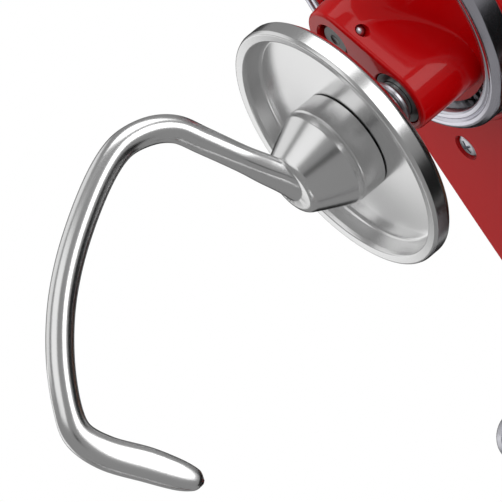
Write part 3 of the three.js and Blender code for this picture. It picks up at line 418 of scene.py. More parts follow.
polished, shade, shader = new_finish("polished_steel", {"Metallic": 1.0})
place = shade.node("ShaderNodeTexCoord", output="Object")
smudge = noise(place, 45.0, 3.0)
buffing = noise(place, 900.0, 2.0, distortion=1.5)
feed(
    shader,
    Base_Color=between(smudge, (0.80, 0.80, 0.80), (0.88, 0.88, 0.88)),
    Roughness=0.19 + 0.06 * smudge + 0.02 * buffing,
    Normal=bump(buffing, 0.012, 0.0001),
)


def worked(form, modifiers):
    """The form after some of Blender's modifiers, each given as its kind and settings."""
    mesh = bpy.data.meshes.new("work")
    form.to_mesh(mesh)
    form.free()
    work = bpy.data.objects.new("work", mesh)
    bpy.context.scene.collection.objects.link(work)
    for kind, settings in modifiers:
        modifier = work.modifiers.new(kind, kind)
        for name, value in settings.items():
            setattr(modifier, name, value)
    shaped = work.evaluated_get(bpy.context.evaluated_depsgraph_get())
    result = bmesh.new()
    result.from_mesh(shaped.to_mesh())
    bpy.data.objects.remove(work)
    return result


def combine(form, tools, operation="DIFFERENCE"):
    """The form with every tool cut away from it, or joined to it."""
    helpers = []
    for tool in tools:
        bmesh.ops.recalc_face_normals(tool, faces=tool.faces)
        mesh = bpy.data.meshes.new("tool")
        tool.to_mesh(mesh)
        tool.free()
        helpers.append(bpy.data.objects.new("tool", mesh))
        bpy.context.scene.collection.objects.link(helpers[-1])
    bmesh.ops.recalc_face_normals(form, faces=form.faces)
    result = worked(form, [
        ("BOOLEAN", {"operation": operation, "solver": "EXACT", "object": helper})
        for helper in helpers
    ])
    for helper in helpers:
        bpy.data.objects.remove(helper)
    return result


def block(x0, x1, y0, y1, z0, z1):
    return loft([
        [(x0, y0, z), (x1, y0, z), (x1, y1, z), (x0, y1, z)] for z in (z0, z1)
    ])


def turned_by(form, place):
    """The form moved by a matrix."""
    bmesh.ops.transform(form, matrix=place, verts=form.verts)
    return form


def disc(radius, z0, z1, sides=48):
    return revolve([(0, z0), (radius, z0), (radius, z1), (0, z1)], sides)


plate_z = base_top + 0.3
plate_outline = rounded([
    (0, 0, 0), (62, 0, 0.6), (62, 8, 1.2), (58, 8, 1.2), (58, 3, 1.6), (51, 3, 0.4), (50, 2.4, 0.4),
    (49, 3, 0.4), (0, 3, 0),
])
plate = revolve(plate_outline, 144)
windows = [
    turned_by(block(56, 64, -15, 15, 3.05, 9), Matrix.Rotation(math.radians(turn), 4, "Z"))
    for turn in (90, 210, 330)
]
screw_circle = 40
screw_turns = [math.radians(turn) for turn in (30, 150, 270)]
screw_holes = [
    turned_by(revolve([(0, -1), (2.3, -1), (2.3, 0.8), (4.75, 3.2), (4.75, 6), (0, 6)], 32),
              Matrix.Translation((screw_circle * math.cos(t), screw_circle * math.sin(t), 0)))
    for t in screw_turns
]
bowl_plate = make("bowl_locking_plate", combine(plate, windows + screw_holes),
                  stand_frame @ Matrix.Translation((0, 0, plate_z)), polished, edge=0.35)
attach(bowl_plate, "stand")
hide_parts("bowl_plate")

# ---- bowl plate screws --------------------------------------------------------------------
# Three countersunk steel screws with a cross recess, flush with the plate.

satin, shade, shader = new_finish("satin_steel", {"Metallic": 1.0})
place = shade.node("ShaderNodeTexCoord", output="Object")
grain = noise(place, 1400.0, 3.0)
cloud = noise(place, 60.0)
feed(
    shader,
    Base_Color=between(cloud, (0.60, 0.60, 0.65), (0.72, 0.72, 0.76)),
    Roughness=0.24 + 0.12 * grain,
    Normal=bump(grain, 0.05, 0.0001),
)


def cross_recess(reach, width, z0, z1):
    return [block(-reach, reach, -width / 2, width / 2, z0, z1),
            block(-width / 2, width / 2, -reach, reach, z0, z1)]


for number, t in enumerate(screw_turns, 1):
    outline = rounded([(0, -11, 0), (2, -11, 0.4), (2, 0.7, 0), (4.2, 2.6, 0.2), (0, 2.9, 0)])
    screw = make(
        f"plate_screw_{number}", combine(revolve(outline, 32), cross_recess(2.6, 0.9, 1.4, 4)),
        stand_frame @ Matrix.Translation(
            (screw_circle * math.cos(t), screw_circle * math.sin(t), plate_z)),
        satin)
    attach(screw, "stand")
    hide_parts(f"bowl_plate_screw_{number}")

# ---- pedestal -----------------------------------------------------------------------------
# A hollow die-cast column, flared at its foot and slotted at the top for the head's hinge lug
# and for the latch. Four bolts come up into it through the base.

column_foot, column_top = base_top + 0.3, 238
# share of the height, middle behind the hinge, half depth, half width
column_stations = [
    (0, 3, 66, 64), (0.1, 1, 57, 58), (0.26, -3, 48, 53), (0.48, -5, 40, 48.5),
    (0.7, -6, 36.5, 46), (1, -6, 34.5, 44),
]


def smooth_at(stations, place):
    """Values between stations along a smooth curve through them."""
    at = min(max(place, stations[0][0]), stations[-1][0])
    i = max(k for k in range(len(stations) - 1) if stations[k][0] <= at + 1e-9)

    def slope(k, value):
        low, high = max(k - 1, 0), min(k + 1, len(stations) - 1)
        rise = stations[high][value] - stations[low][value]
        return rise / (stations[high][0] - stations[low][0])

    run = stations[i + 1][0] - stations[i][0]
    t = (at - stations[i][0]) / run
    values = []
    for value in range(1, len(stations[0])):
        a, b = stations[i][value], stations[i + 1][value]
        values.append(
            (2 * t ** 3 - 3 * t ** 2 + 1) * a + (t ** 3 - 2 * t ** 2 + t) * run * slope(i, value)
            + (3 * t ** 2 - 2 * t ** 3) * b + (t ** 3 - t ** 2) * run * slope(i + 1, value))
    return values


def power(value, exponent):
    return math.copysign(abs(value) ** exponent, value)


def column_ring(share, inward=0.0, sides=88):
    middle, depth, width = smooth_at(column_stations, share)
    z = column_foot + share * (column_top - column_foot)
    turns = [2 * math.pi * i / sides for i in range(sides)]
    return [((width - inward) * power(math.cos(t), 2 / 2.6),
             hinge_y + middle + (depth - inward) * power(math.sin(t), 2 / 2.6), z) for t in turns]


hinge_y, hinge_z = closed_hinge.y, closed_hinge.z
shares = [i / 30 for i in range(31)]
column = loft([column_ring(share) for share in shares])
hollow = loft([column_ring(share, 7) for share in shares[:26]])
lug_half, lug_radius = 20.6, 12
open_turn = math.radians(45)
reach = column_top - hinge_z
swept = turned_by(
    block(-200, 200, -200, 200, 0, 200),
    Matrix.Translation(
        (0, hinge_y + reach * math.sin(open_turn), hinge_z + reach * math.cos(open_turn)))
    @ Matrix.Rotation(-open_turn, 4, "X"))
swept = combine(swept, [block(-300, 300, hinge_y, 400, -100, 600)], "INTERSECT")
lug_slot = block(-lug_half, lug_half, hinge_y - lug_radius - 5, 400, hinge_z - lug_radius - 3, 400)
lock_x, lock_y, lock_z, lock_travel = 28, hinge_y - 28, 221, 12
lock_pocket = block(-lock_x - 7, -lock_x + 6.5, lock_y - 1, hinge_y + 1, lock_z - 9, 400)
lock_slot = block(
    -400, -lock_x, lock_y - 0.8, lock_y + 4.8 + lock_travel, lock_z - 2.8, lock_z + 2.8)
pedestal = make(
    "pedestal_casting", combine(column, [hollow, swept, lug_slot, lock_pocket, lock_slot]),
    stand_frame, enamel, edge=0.9)
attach(pedestal, "stand")
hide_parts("pedestal")
pedestal.visible_glossy = False

# ---- hinge pin ----------------------------------------------------------------------------
# A ground steel pin through the column and the head's lug, with chamfered ends that stand
# just proud of the casting, so the head tips about it.

pin_half = 43
pin_outline = rounded([
    (0, -pin_half, 0), (4.2, -pin_half, 0.5), (5, 1.2 - pin_half, 0.4), (5, pin_half - 1.2, 0.4),
    (4.2, pin_half, 0.5), (0, pin_half, 0)])
lay_along_x = Matrix.Rotation(math.radians(90), 4, "Y")
hinge_pin = make("head_hinge_pin", revolve(pin_outline, 48),
                 stand_frame @ Matrix.Translation(closed_hinge) @ lay_along_x, satin)
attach(hinge_pin, "stand")
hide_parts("hinge_pin")

# ---- lock lever ---------------------------------------------------------------------------
# A plated zinc casting: a round tongue that slides into the head's keeper, a flat stem through
# the column's side and a domed thumb pad outside.

column_half = column_stations[-1][3]
tongue = turned_by(
    revolve(rounded([(0, 0, 0), (2.8, 0, 0), (2.8, 10.5, 1), (0, 10.5, 0)]), 32),
    Matrix.Translation((-lock_x, lock_y, lock_z)) @ Matrix.Rotation(math.radians(-90), 4, "X"))
stem = block(-column_half - 4, -lock_x, lock_y, lock_y + 4, lock_z - 2.2, lock_z + 2.2)
pad = turned_by(
    revolve(rounded([
        (0, 0, 0), (7, 0, 0), (8, 1.5, 0.8), (8, 5, 2), (5.5, 8, 3), (0, 8.8, 0)]), 64),
    Matrix.Translation((-column_half - 1.5, lock_y + 2, lock_z))
    @ Matrix.Rotation(math.radians(-90), 4, "Y") @ Matrix.Scale(0.8, 4, (0, 1, 0)))
lock = make("head_lock_lever", combine(tongue, [stem, pad], "UNION"), stand_frame, satin, edge=0.3)
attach(lock, "lock")
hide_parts("lock_lever")

# ---- cord gland ---------------------------------------------------------------------------
# A moulded rubber sleeve, ribbed outside, pressed into the base's rear wall.

gland_outline = [(3.5, -8), (5, -8), (5, 0.3), (8, 0.3), (8, 2), (7.4, 2.6)]
gland_outline += [(6.9 - 0.35 * rib + (0.5 if step in (1, 2) else 0), 3 + 2 * rib + 0.45 * step)
                  for rib in range(3) for step in range(4)]
gland_outline += [(5.6, 10), (4, 10), (3.5, 9.4)]
lay_along_y = Matrix.Rotation(math.radians(-90), 4, "X")
gland = make("cord_gland_sleeve", revolve(gland_outline, 48, closed=True),
             stand_frame @ Matrix.Translation((0, base_rear, 18)) @ lay_along_y, rubber)
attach(gland, "stand")
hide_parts("cord_gland")

# ---- lower gearcase -----------------------------------------------------------------------
# The head's lower casting: side walls, a flat underside with the ring gear's round pocket, a
# raised bead beside the drip ring, the hinge lug and the latch's keeper. The pocket, bead, lug
# and keeper are a closed form of their own in the same mesh as the shell.

spin_axis = Vector(joint("planetary_spin")["axis"])
tip = math.atan2(spin_axis.y, spin_axis.z)
head_frame = (Matrix.Translation(hinge) @ Matrix.Rotation(-tip, 4, "X") @ Matrix.Scale(mm, 4)
              @ Matrix.Translation(-closed_hinge))

underside_z = 240
drive_z = 304
seam_z = 286
seam_gap = 0.3
end_cover_y = 200
head_wall = 5
# y, half width, bottom and top above the underside
head_stations = [
    (-92, 27, 37, 91), (-84, 36, 22, 97), (-70, 46, 4, 103), (-50, 54, -12, 109),
    (-25, 58, -20, 113), (0, 60, -20, 115), (50, 61, -20, 116), (100, 61, -20, 115),
    (150, 59, -20, 112), (190, 55, -14, 105), (220, 49, 4, 95), (240, 40, 18, 82),
    (250, 25, 35, 65),
]
nose_y, tail_y = head_stations[0][0], head_stations[-1][0]
nose_round, tail_round = 3, 8
lower_square, upper_square = 3.6, 2.5


class Section:
    """The head's cross-section at one place along it."""

    def __init__(self, y):
        ends = ((y - nose_y, nose_round), (tail_y - y, tail_round))
        drawn_in = sum(
            size - math.sqrt(size ** 2 - (size - run) ** 2) for run, size in ends if run < size)
        self.width, low, high = smooth_at(head_stations, y)
        self.width -= drawn_in
        self.bottom = underside_z + low + drawn_in
        self.top = underside_z + high - drawn_in
        self.middle = self.bottom + 0.45 * (self.top - self.bottom)

    def turn(self, z):
        """The angle at which the outline reaches a height, from -90 degrees to 90."""
        if z >= self.middle:
            ratio = min((z - self.middle) / (self.top - self.middle), 1)
            return math.asin(ratio ** (upper_square / 2))
        ratio = min((self.middle - z) / (self.middle - self.bottom), 1)
        return -math.asin(ratio ** (lower_square / 2))

    def point(self, turn):
        square = lower_square if turn < 0 else upper_square
        height = self.middle - self.bottom if turn < 0 else self.top - self.middle
        return (self.width * abs(math.cos(turn)) ** (2 / square),
                self.middle + height * power(math.sin(turn), 2 / square))

    def side(self, z0, z1, count):
        start, end = self.turn(z0), self.turn(z1)
        return [self.point(start + (end - start) * i / (count - 1)) for i in range(count)]


def spread(start, end, step, crowded_start=0, crowded_end=0):
    """Places from start to end, closer together where an end is rounded."""
    places = [start + crowded_start * (1 - math.cos(math.radians(15 * i))) for i in range(6)]
    count = max(2, round((end - start) / step))
    places += [start + crowded_start + (end - start - crowded_start - crowded_end) * i / count
               for i in range(count + 1)]
    places += [end - crowded_end * (1 - math.cos(math.radians(15 * i))) for i in range(5, -1, -1)]
    return sorted(set(round(place, 4) for place in places))


def open_skin(rows):
    """A skin through open rows of points, with a flat face over the first row."""
    form = bmesh.new()
    grid = [[form.verts.new(point) for point in row] for row in rows]
    for low, high in zip(grid, grid[1:]):
        for i in range(len(low) - 1):
            form.faces.new((low[i], high[i], high[i + 1], low[i + 1]))
    form.faces.new(grid[0])
    bmesh.ops.remove_doubles(form, verts=form.verts, dist=1e-3)
    bmesh.ops.dissolve_degenerate(form, edges=form.edges, dist=1e-3)
    return form


def lower_row(y, floor_count=14, side_count=22):
    """One row of the lower casting, from its left seam under the floor to the right seam."""
    section = Section(y)
    side = section.side(max(underside_z, section.bottom), seam_z - seam_gap / 2, side_count)
    corner_x, corner_z = side[0]
    floor_points = [(corner_x * i / floor_count, corner_z) for i in range(floor_count)]
    right = floor_points + side
    return [(-x, y, z) for x, z in reversed(right[1:])] + [(x, y, z) for x, z in right]


def shell(form, thickness=head_wall):
    """A casting wall inside an outer skin."""
    form.normal_update()
    middle = sum((vert.co for vert in form.verts), Vector()) / len(form.verts)
    if sum((face.calc_center_median() - middle).dot(face.normal) for face in form.faces) < 0:
        bmesh.ops.reverse_faces(form, faces=form.faces)
    return worked(form, [("SOLIDIFY", {
        "thickness": thickness, "offset": -1.0, "use_even_offset": True})])


def together(*forms):
    """Several closed forms in one mesh."""
    joined = bmesh.new()
    for form in forms:
        mesh = bpy.data.meshes.new("form")
        form.to_mesh(mesh)
        joined.from_mesh(mesh)
    return joined


def hub_bore():
    """The hole in the nose for the attachment hub's sleeve."""
    return turned_by(disc(21.8, -120, -39.7, 72), Matrix.Translation((0, 0, drive_z)) @ lay_along_y)


lower_ys = spread(nose_y, end_cover_y - seam_gap / 2, 5, crowded_start=nose_round)
gearcase_form = shell(open_skin([lower_row(y) for y in lower_ys]))
pocket_radius, pocket_roof = 49.1, 251
pocket = revolve(rounded([
    (pocket_radius, 243, 0), (54, 243, 0), (54, 256, 1), (13.3, 256, 0), (13.3, pocket_roof, 0),
    (pocket_radius, pocket_roof, 0)]), 120, closed=True)
lug = turned_by(
    revolve(rounded([(0, -20, 0), (lug_radius, -20, 1), (lug_radius, 20, 1), (0, 20, 0)]), 64),
    Matrix.Translation(closed_hinge) @ lay_along_x)
lug_neck = block(-20, 20, hinge_y - lug_radius, hinge_y + lug_radius, hinge_z, underside_z + 3)
keeper = block(-lock_x - 5, -lock_x + 5, hinge_y - 11, hinge_y - 7, lock_z - 5, underside_z + 3)
bead = revolve(rounded([
    (50.9, 240.5, 0), (50.9, 238.4, 0.6), (52.4, 238.4, 0.8), (53.6, 240.5, 0)]), 144, closed=True)
screw_places = [(31, 62), (-31, 62), (40, 120), (-40, 120)]
counterbores = [
    turned_by(disc(4.9, underside_z - 1, underside_z + 2.5, 40), Matrix.Translation((x, y, 0)))
    for x, y in screw_places
]
pin_hole = turned_by(disc(5.3, -60, 60, 48), Matrix.Translation(closed_hinge) @ lay_along_x)
keyhole = turned_by(
    disc(3.6, hinge_y - 17, hinge_y - 2, 32),
    Matrix.Translation((-lock_x, 0, lock_z)) @ lay_along_y)
pocket_hole = disc(pocket_radius, 230, 248, 120)
outside = combine(gearcase_form, [pocket_hole, *counterbores, hub_bore()])
inside = combine(combine(pocket, [lug, lug_neck, keeper, bead], "UNION"), [pin_hole, keyhole])
gearcase = make("lower_gearcase_casting", together(outside, inside), head_frame, enamel, edge=0.7)
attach(gearcase, "head")
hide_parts("lower_gearcase")
gearcase.visible_glossy = False

# ---- gearcase screws ----------------------------------------------------------------------
# Four plated pan-head screws in counterbores, which hold the gearing to the lower casting.

for number, (x, y) in enumerate(screw_places, 1):
    outline = rounded([
        (0, 0.2, 0), (3.4, 0.6, 1.2), (4.3, 1.6, 0.4), (4.3, 2.2, 0.2), (2.2, 2.2, 0),
        (2.2, 12, 0.4), (0, 12, 0)])
    screw = make(f"underside_screw_{number}",
                 combine(revolve(outline, 40), cross_recess(2.4, 0.9, -1, 1.5)),
                 head_frame @ Matrix.Translation((x, y, underside_z)), satin)
    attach(screw, "head")
    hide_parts(f"gearcase_screw_{number}")

# ---- drip ring ----------------------------------------------------------------------------
# A spun aluminium ring pushed up round the ring gear's pocket, its rolled lower lip turned in
# to catch oil before it can reach the bowl.

bright, shade, shader = new_finish("bright_aluminium", {"Metallic": 1.0})
place = shade.node("ShaderNodeTexCoord", output="Object")
grain = noise(place, 1600.0)
cloud = noise(place, 50.0)
feed(
    shader,
    Base_Color=between(cloud, (0.66, 0.65, 0.72), (0.76, 0.75, 0.82)),
    Roughness=0.16 + 0.10 * grain,
    Normal=bump(grain, 0.03, 0.0001),
)
drip_outline = rounded([
    (45.5, 239.7, 0.3), (45.5, 234.4, 0.4), (44.4, 233.6, 0.3), (43.3, 232.6, 0.5),
    (43.6, 230.2, 1.2), (45.6, 229.9, 0.6), (46.2, 230.6, 0.35), (46.8, 229.7, 0.6),
    (48.4, 229.4, 1.2),
    (50.5, 231.4, 2.0), (50.5, 239.7, 0.3), (48, 239.7, 0)])
drip_ring = make("oil_drip_ring", revolve(drip_outline, 180, closed=True), head_frame, bright)
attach(drip_ring, "head")
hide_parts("drip_ring")

# ---- upper housing ------------------------------------------------------------------------
# The head's upper casting, a round-backed shell whose nose is bored for the attachment hub. A
# slot in its right side lets the speed lever through.


def upper_row(y, count=40):
    section = Section(y)
    right = section.side(max(seam_z + seam_gap / 2, section.bottom), section.top, count)[:-1]
    return ([(x, y, z) for x, z in right] + [(0, y, section.top)]
            + [(-x, y, z) for x, z in reversed(right)])


speed_y, speed_z, speed_travel = 57, 314, 36
slot_ends = [
    turned_by(disc(3.3, 40, 80, 32), Matrix.Translation((0, y, speed_z)) @ lay_along_x)
    for y in (speed_y, speed_y + speed_travel)
]
slot_middle = block(40, 80, speed_y, speed_y + speed_travel, speed_z - 3.3, speed_z + 3.3)
upper_form = shell(open_skin([upper_row(y)[::-1] for y in lower_ys]))
upper = make(
    "upper_housing_casting", combine(upper_form, [*slot_ends, slot_middle, hub_bore()]),
    head_frame, enamel, edge=0.7)
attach(upper, "head")
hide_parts("upper_housing")

# ---- end cover ----------------------------------------------------------------------------
# The rear cap of the head over the motor's rear bearing: one deep enamelled casting, held by
# a single screw through its middle.


def full_row(y, count=44):
    section = Section(y)
    start = section.turn(underside_z) if section.bottom < underside_z else -math.pi / 2
    turns = [start + (math.pi / 2 - start) * i / (count - 1) for i in range(count)]
    side = [section.point(t) for t in turns]
    corner_x, corner_z = side[0]
    right = [(corner_x * i / 12, corner_z) for i in range(12)] + side[:-1]
    return ([(x, y, z) for x, z in right] + [(0, y, section.top)]
            + [(-x, y, z) for x, z in reversed(right[1:])])


cover_ys = spread(end_cover_y + seam_gap / 2, tail_y, 4, crowded_end=tail_round)
cover_form = bmesh.new()
grid = [[cover_form.verts.new(point) for point in full_row(y)] for y in cover_ys]
for low, high in zip(grid, grid[1:]):
    for i, j in zip(range(len(low)), [*range(1, len(low)), 0]):
        cover_form.faces.new((low[i], low[j], high[j], high[i]))
cover_form.faces.new(grid[-1])
bmesh.ops.remove_doubles(cover_form, verts=cover_form.verts, dist=1e-3)
bmesh.ops.reverse_faces(cover_form, faces=cover_form.faces)
screw_hole = turned_by(disc(2.5, 230, 260, 24), Matrix.Translation((0, 0, 298)) @ lay_along_y)
end_cover = make(
    "rear_end_cover", combine(shell(cover_form), [screw_hole]), head_frame, enamel, edge=0.7)
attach(end_cover, "head")
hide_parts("end_cover")

outline = rounded([
    (0, -12, 0), (2, -12, 0.4), (2, 0.3, 0), (4.4, 0.3, 0.3), (4.4, 1.6, 0.9), (0, 2.6, 0)])
slot = block(-6, 6, -0.6, 0.6, 1.5, 5)
cover_screw = make("end_cover_screw_head", combine(revolve(outline, 40), [slot]),
                   head_frame @ Matrix.Translation((0, tail_y, 298)) @ lay_along_y, satin)
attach(cover_screw, "head")
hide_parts("end_cover_screw")

# ---- trim band ----------------------------------------------------------------------------
# A strip of bright steel, rolled with rounded edges, that hides the joint between the castings
# along both sides and round the tail.

band_start, band_half = -78, 6
side_line = []
for y in spread(band_start, tail_y - 0.01, 4, crowded_end=tail_round):
    section = Section(y)
    side_line.append(Vector((section.point(section.turn(seam_z))[0], y)))
tail_half = side_line[-1].x
across_tail = [Vector((tail_half * (1 - i / 4), tail_y)) for i in range(1, 4)]
half_line = side_line + across_tail
band_line = half_line + [Vector((0, tail_y))] + [Vector((-x, y)) for x, y in reversed(half_line)]
strip = [(0.3, -band_half), (0.3, band_half), (0.9, band_half)]
strip += [(0.9 + 0.8 * math.cos(t), 5.2 * math.sin(t) + 0.8 * power(math.sin(t), 3))
          for t in (math.radians(80 - 20 * i) for i in range(9))]
strip += [(0.9, -band_half)]
rings = []
for i, point in enumerate(band_line):
    run = (band_line[min(i + 1, len(band_line) - 1)] - band_line[max(i - 1, 0)]).normalized()
    outward = Vector((run.y, -run.x))
    rings.append([
        (point.x + off * outward.x, point.y + off * outward.y, seam_z + rise)
        for off, rise in strip])
band = make("side_trim_band", loft(rings), head_frame, polished)
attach(band, "head")
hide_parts("trim_band")

# ---- attachment hub -----------------------------------------------------------------------
# A turned steel sleeve in the nose that takes the tail of an attachment; the square drive
# socket turns at its far end.

hub_front = nose_y - 1.5
sleeve_outline = rounded([
    (18, hub_front, 0.5), (21.5, hub_front, 0.8), (21.5, -40, 0), (6.3, -40, 0), (6.3, -45, 0),
    (18, -45, 0)])
sleeve = revolve(sleeve_outline, 96, closed=True)
sleeve = turned_by(sleeve, Matrix.Translation((0, 0, drive_z)) @ lay_along_y)
knob_y = -62
knob_hole = turned_by(disc(4.5, 0, 60, 32), Matrix.Translation((0, knob_y, drive_z)) @ lay_along_x)
hub = make("attachment_hub_sleeve", combine(sleeve, [knob_hole]), head_frame, polished)
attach(hub, "head")
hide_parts("attachment_hub")

# ---- hub cover ----------------------------------------------------------------------------
# A domed steel cap over the attachment hub, with a turned ring and a knuckle that swings up on
# a small pin held by two ears on the nose.

cover_radius = 23.5
face_y = hub_front - 0.3
cap_outline = rounded([
    (0, -5.0, 0), (13, -4.9, 4), (14.2, -4.3, 0.5), (15.4, -4.8, 0.6), (20.4, -4.6, 1.2),
    (23.4, -2.4, 1.2), (cover_radius, 0, 0.4), (18, 0, 0.3), (18, -1.5, 0), (0, -1.5, 0)])
cap = turned_by(revolve(cap_outline, 120), Matrix.Translation((0, face_y, drive_z)) @ lay_along_y)
knuckle_y, knuckle_z = nose_y - 4.5, drive_z + cover_radius + 3.5
knuckle_place = Matrix.Translation((0, knuckle_y, knuckle_z)) @ lay_along_x
knuckle = turned_by(
    revolve(rounded([(0, -9, 0), (2.8, -9, 0.5), (2.8, 9, 0.5), (0, 9, 0)]), 40), knuckle_place)
tab = block(-8.4, 8.4, knuckle_y - 1.5, knuckle_y + 1.5, drive_z + cover_radius - 3, knuckle_z)
bore = turned_by(disc(1.6, -20, 20, 24), knuckle_place)
hub_cap = make("attachment_hub_cap", combine(combine(cap, [knuckle, tab], "UNION"), [bore]),
               head_frame, polished, edge=0.3)
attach(hub_cap, "cover")
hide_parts("hub_cover")

ears = [block(x - 1.5, x + 1.5, knuckle_y - 2, nose_y - 0.3, knuckle_z - 2.5, knuckle_z + 2.5)
        for x in (11.3, -11.3)]
cap_pin = turned_by(
    revolve(rounded([(0, -13, 0), (1.3, -13, 0.4), (1.3, 13, 0.4), (0, 13, 0)]), 24), knuckle_place)
cap_bracket = make("hub_cap_pin", combine(cap_pin, ears, "UNION"), head_frame, satin, edge=0.4)
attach(cap_bracket, "head")
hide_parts("hub_cover_pin")

# ---- attachment knob ----------------------------------------------------------------------
# A six-lobed black knob on the right of the nose. Its stem clamps an attachment in the hub.

black, shade, shader = new_finish("black_plastic", {"Specular IOR Level": 0.5, "IOR": 1.49})
place = shade.node("ShaderNodeTexCoord", output="Object")
spark = noise(place, 1100.0, 3.0)
feed(
    shader,
    Base_Color=between(spark, (0.006, 0.006, 0.007), (0.014, 0.014, 0.015)),
    Roughness=0.26 + 0.16 * spark,
    Normal=bump(spark, 0.08, 0.0001),
)
knob_start = Section(knob_y).width + 4


def lobed_ring(radius, height, lobes, depth, sides=144):
    turns = [2 * math.pi * i / sides for i in range(sides)]
    reaches = [radius - depth * (0.5 - 0.5 * math.cos(lobes * t)) ** 2 for t in turns]
    return [(reach * math.cos(t), reach * math.sin(t), height) for reach, t in zip(reaches, turns)]


grip_edge = rounded([
    (0, 0, 0), (10, 0, 1.2), (12, 2.4, 1.5), (12, 12, 2.6), (8.6, 15, 3), (0, 15, 0)])[1:-1]
grip = loft([
    lobed_ring(radius, height, 6, 2.0 * min(1, max(0, (radius - 7) / 4)))
    for radius, height in grip_edge])
grip_stem = disc(4, 18.5 - knob_start, 1)
knob = make("attachment_clamp_knob", combine(grip, [grip_stem], "UNION"),
            head_frame @ Matrix.Translation((knob_start, knob_y, drive_z)) @ lay_along_x, black)
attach(knob, "hub_knob")
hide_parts("attachment_knob")

# ---- speed knob ---------------------------------------------------------------------------
# A moulded ball knob pressed on the end of the speed lever, finely fluted for the thumb.

knob_outline = rounded([
    (0, 0, 0), (4.5, 0, 0.8), (7.5, 3, 1.5), (8.1, 7, 3), (7.0, 11, 3), (3.6, 13.7, 3),
    (0, 14.2, 0)])[1:-1]
ball = loft([
    lobed_ring(radius, height, 24, 0.28 if 6.5 < radius else 0.0, 192)
    for radius, height in knob_outline])
speed_knob_place = Matrix.Translation((Section(speed_y).width + 3, speed_y, speed_z))
speed_knob = make("speed_lever_knob", combine(ball, [disc(2.8, -1, 6, 32)]),
                  head_frame @ speed_knob_place @ lay_along_x, black)
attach(speed_knob, "speed_control")
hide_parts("speed_knob")

# ---- brush caps ---------------------------------------------------------------------------
# Two screwed caps, one on each side of the head, over the motor's carbon brushes, each with a
# coin slot and a bevelled edge.

brush_y = 140
for side, turn in (("left", 1), ("right", -1)):
    outline = rounded([
        (0, -7, 0), (6.7, -7, 0.5), (6.7, 0, 0), (8, 0, 0.3), (8, 1.6, 0.9), (6.4, 2.6, 0.5),
        (0, 2.6, 0)])
    coin_slot = block(-1, 1, -9, 9, 1.4, 5)
    brush_cap = make(
        f"brush_cap_{side}_side", combine(revolve(outline, 56), [coin_slot]),
        head_frame @ Matrix.Translation((turn * (Section(brush_y).width + 1), brush_y, drive_z))
        @ Matrix.Rotation(math.radians(90 * turn), 4, "Y"), black, edge=0.15)
    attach(brush_cap, "head")
    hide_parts(f"brush_cap_{side}")

# ---- planetary casting --------------------------------------------------------------------
# An enamelled casting that turns under the head. Its lower end is a long flat face with two
# round ends; above the side wall it flares out to a round flange inside the drip ring.

face_centre = joint_place("planetary_spin")
agitator_place = joint_place("agitator_spin")
agitator_offset = (agitator_place - face_centre).length / mm
along = (agitator_place - face_centre).normalized()


def spindle_frame(origin, turn=0.0):
    """Axes at a spindle: Z up its axis and X towards the agitator, turned by an angle."""
    axes = Matrix((along, spin_axis.cross(along), spin_axis)).transposed().to_4x4()
    return (Matrix.Translation(origin) @ axes @ Matrix.Rotation(math.radians(turn), 4, "Z")
            @ Matrix.Scale(mm, 4))


hub_end, boss_end = 11.3, 12.0
flange_radius, flange_rise, flange_top = 41, 26, 30
wall_rise = 6.8


def long_face_reach(turn, drawn_in):
    """How far the long face reaches from the centre shaft in a direction."""
    direction = Vector((math.cos(turn), math.sin(turn)))
    small, large = hub_end - drawn_in, boss_end - drawn_in
    lean = math.asin((large - small) / agitator_offset)
    reaches = [small]
    across = abs(direction.y)
    foot = large ** 2 - (agitator_offset * across) ** 2
    if foot >= 0 and direction.x > 0:
        reaches.append(agitator_offset * direction.x + math.sqrt(foot))
    side = Vector((-math.sin(lean), math.cos(lean)))
    facing_side = direction.x * side.x + across * side.y
    if facing_side > 1e-6:
        hit = small / facing_side
        run = hit * (direction.x * math.cos(lean) + across * math.sin(lean))
        if 0 <= run <= agitator_offset * math.cos(lean):
            reaches.append(hit)
    return max(reaches)


def soft_max(a, b, blend):
    near = max(blend - abs(a - b), 0) / blend
    return max(a, b) + near * near * blend / 4


def planetary_ring(height, flare, drawn_in, blend, sides=240):
    points = []
    for i in range(sides):
        share = 2 * math.pi * i / sides
        turn = share - 0.55 * math.sin(share)
        reach = soft_max(long_face_reach(turn, drawn_in), flare, blend)
        points.append((reach * math.cos(turn), reach * math.sin(turn), height))
    return points


face_edge = 1.3
rings = []
for step in range(7):
    turn = math.radians(15 * step)
    rings.append(planetary_ring(
        face_edge * (1 - math.sin(turn)), 1.0, face_edge * (1 - math.cos(turn)), 0.5))
rings = rings[::-1]
flare_steps = 26
for step in range(1, flare_steps + 1):
    turn = math.radians(90 * step / flare_steps)
    flare = hub_end - 0.6 + (flange_radius - hub_end + 0.6) * (1 - math.cos(turn))
    height = wall_rise - 2.6 + (flange_rise - wall_rise + 2.6) * math.sin(turn)
    rings.append(planetary_ring(height, flare, 0, 3.2))
rings.append(planetary_ring(flange_rise + 0.6, flange_radius, 0, 0.5))
rings.append(planetary_ring(flange_top, flange_radius, 0, 0.5))
planetary_form = loft(rings)
head_right = math.degrees(math.atan2(
    Vector((1, 0, 0)).dot(spin_axis.cross(along)), Vector((1, 0, 0)).dot(along)))
to_lock_pin = (Matrix.Rotation(math.radians(head_right), 4, "Z") @ Matrix.Translation((0, 0, 4.6))
               @ lay_along_x)
washer_recess = turned_by(
    revolve(rounded([
        (0, -1, 0), (9.9, -1, 0), (9.9, 0.1, 0.2), (9.6, 0.4, 0.2), (9.6, 2, 0.3), (0, 2, 0)]), 72),
    Matrix.Translation((agitator_offset, 0, 0)))
shaft_hole = turned_by(disc(6.65, -1, 32, 48), Matrix.Translation((agitator_offset, 0, 0)))
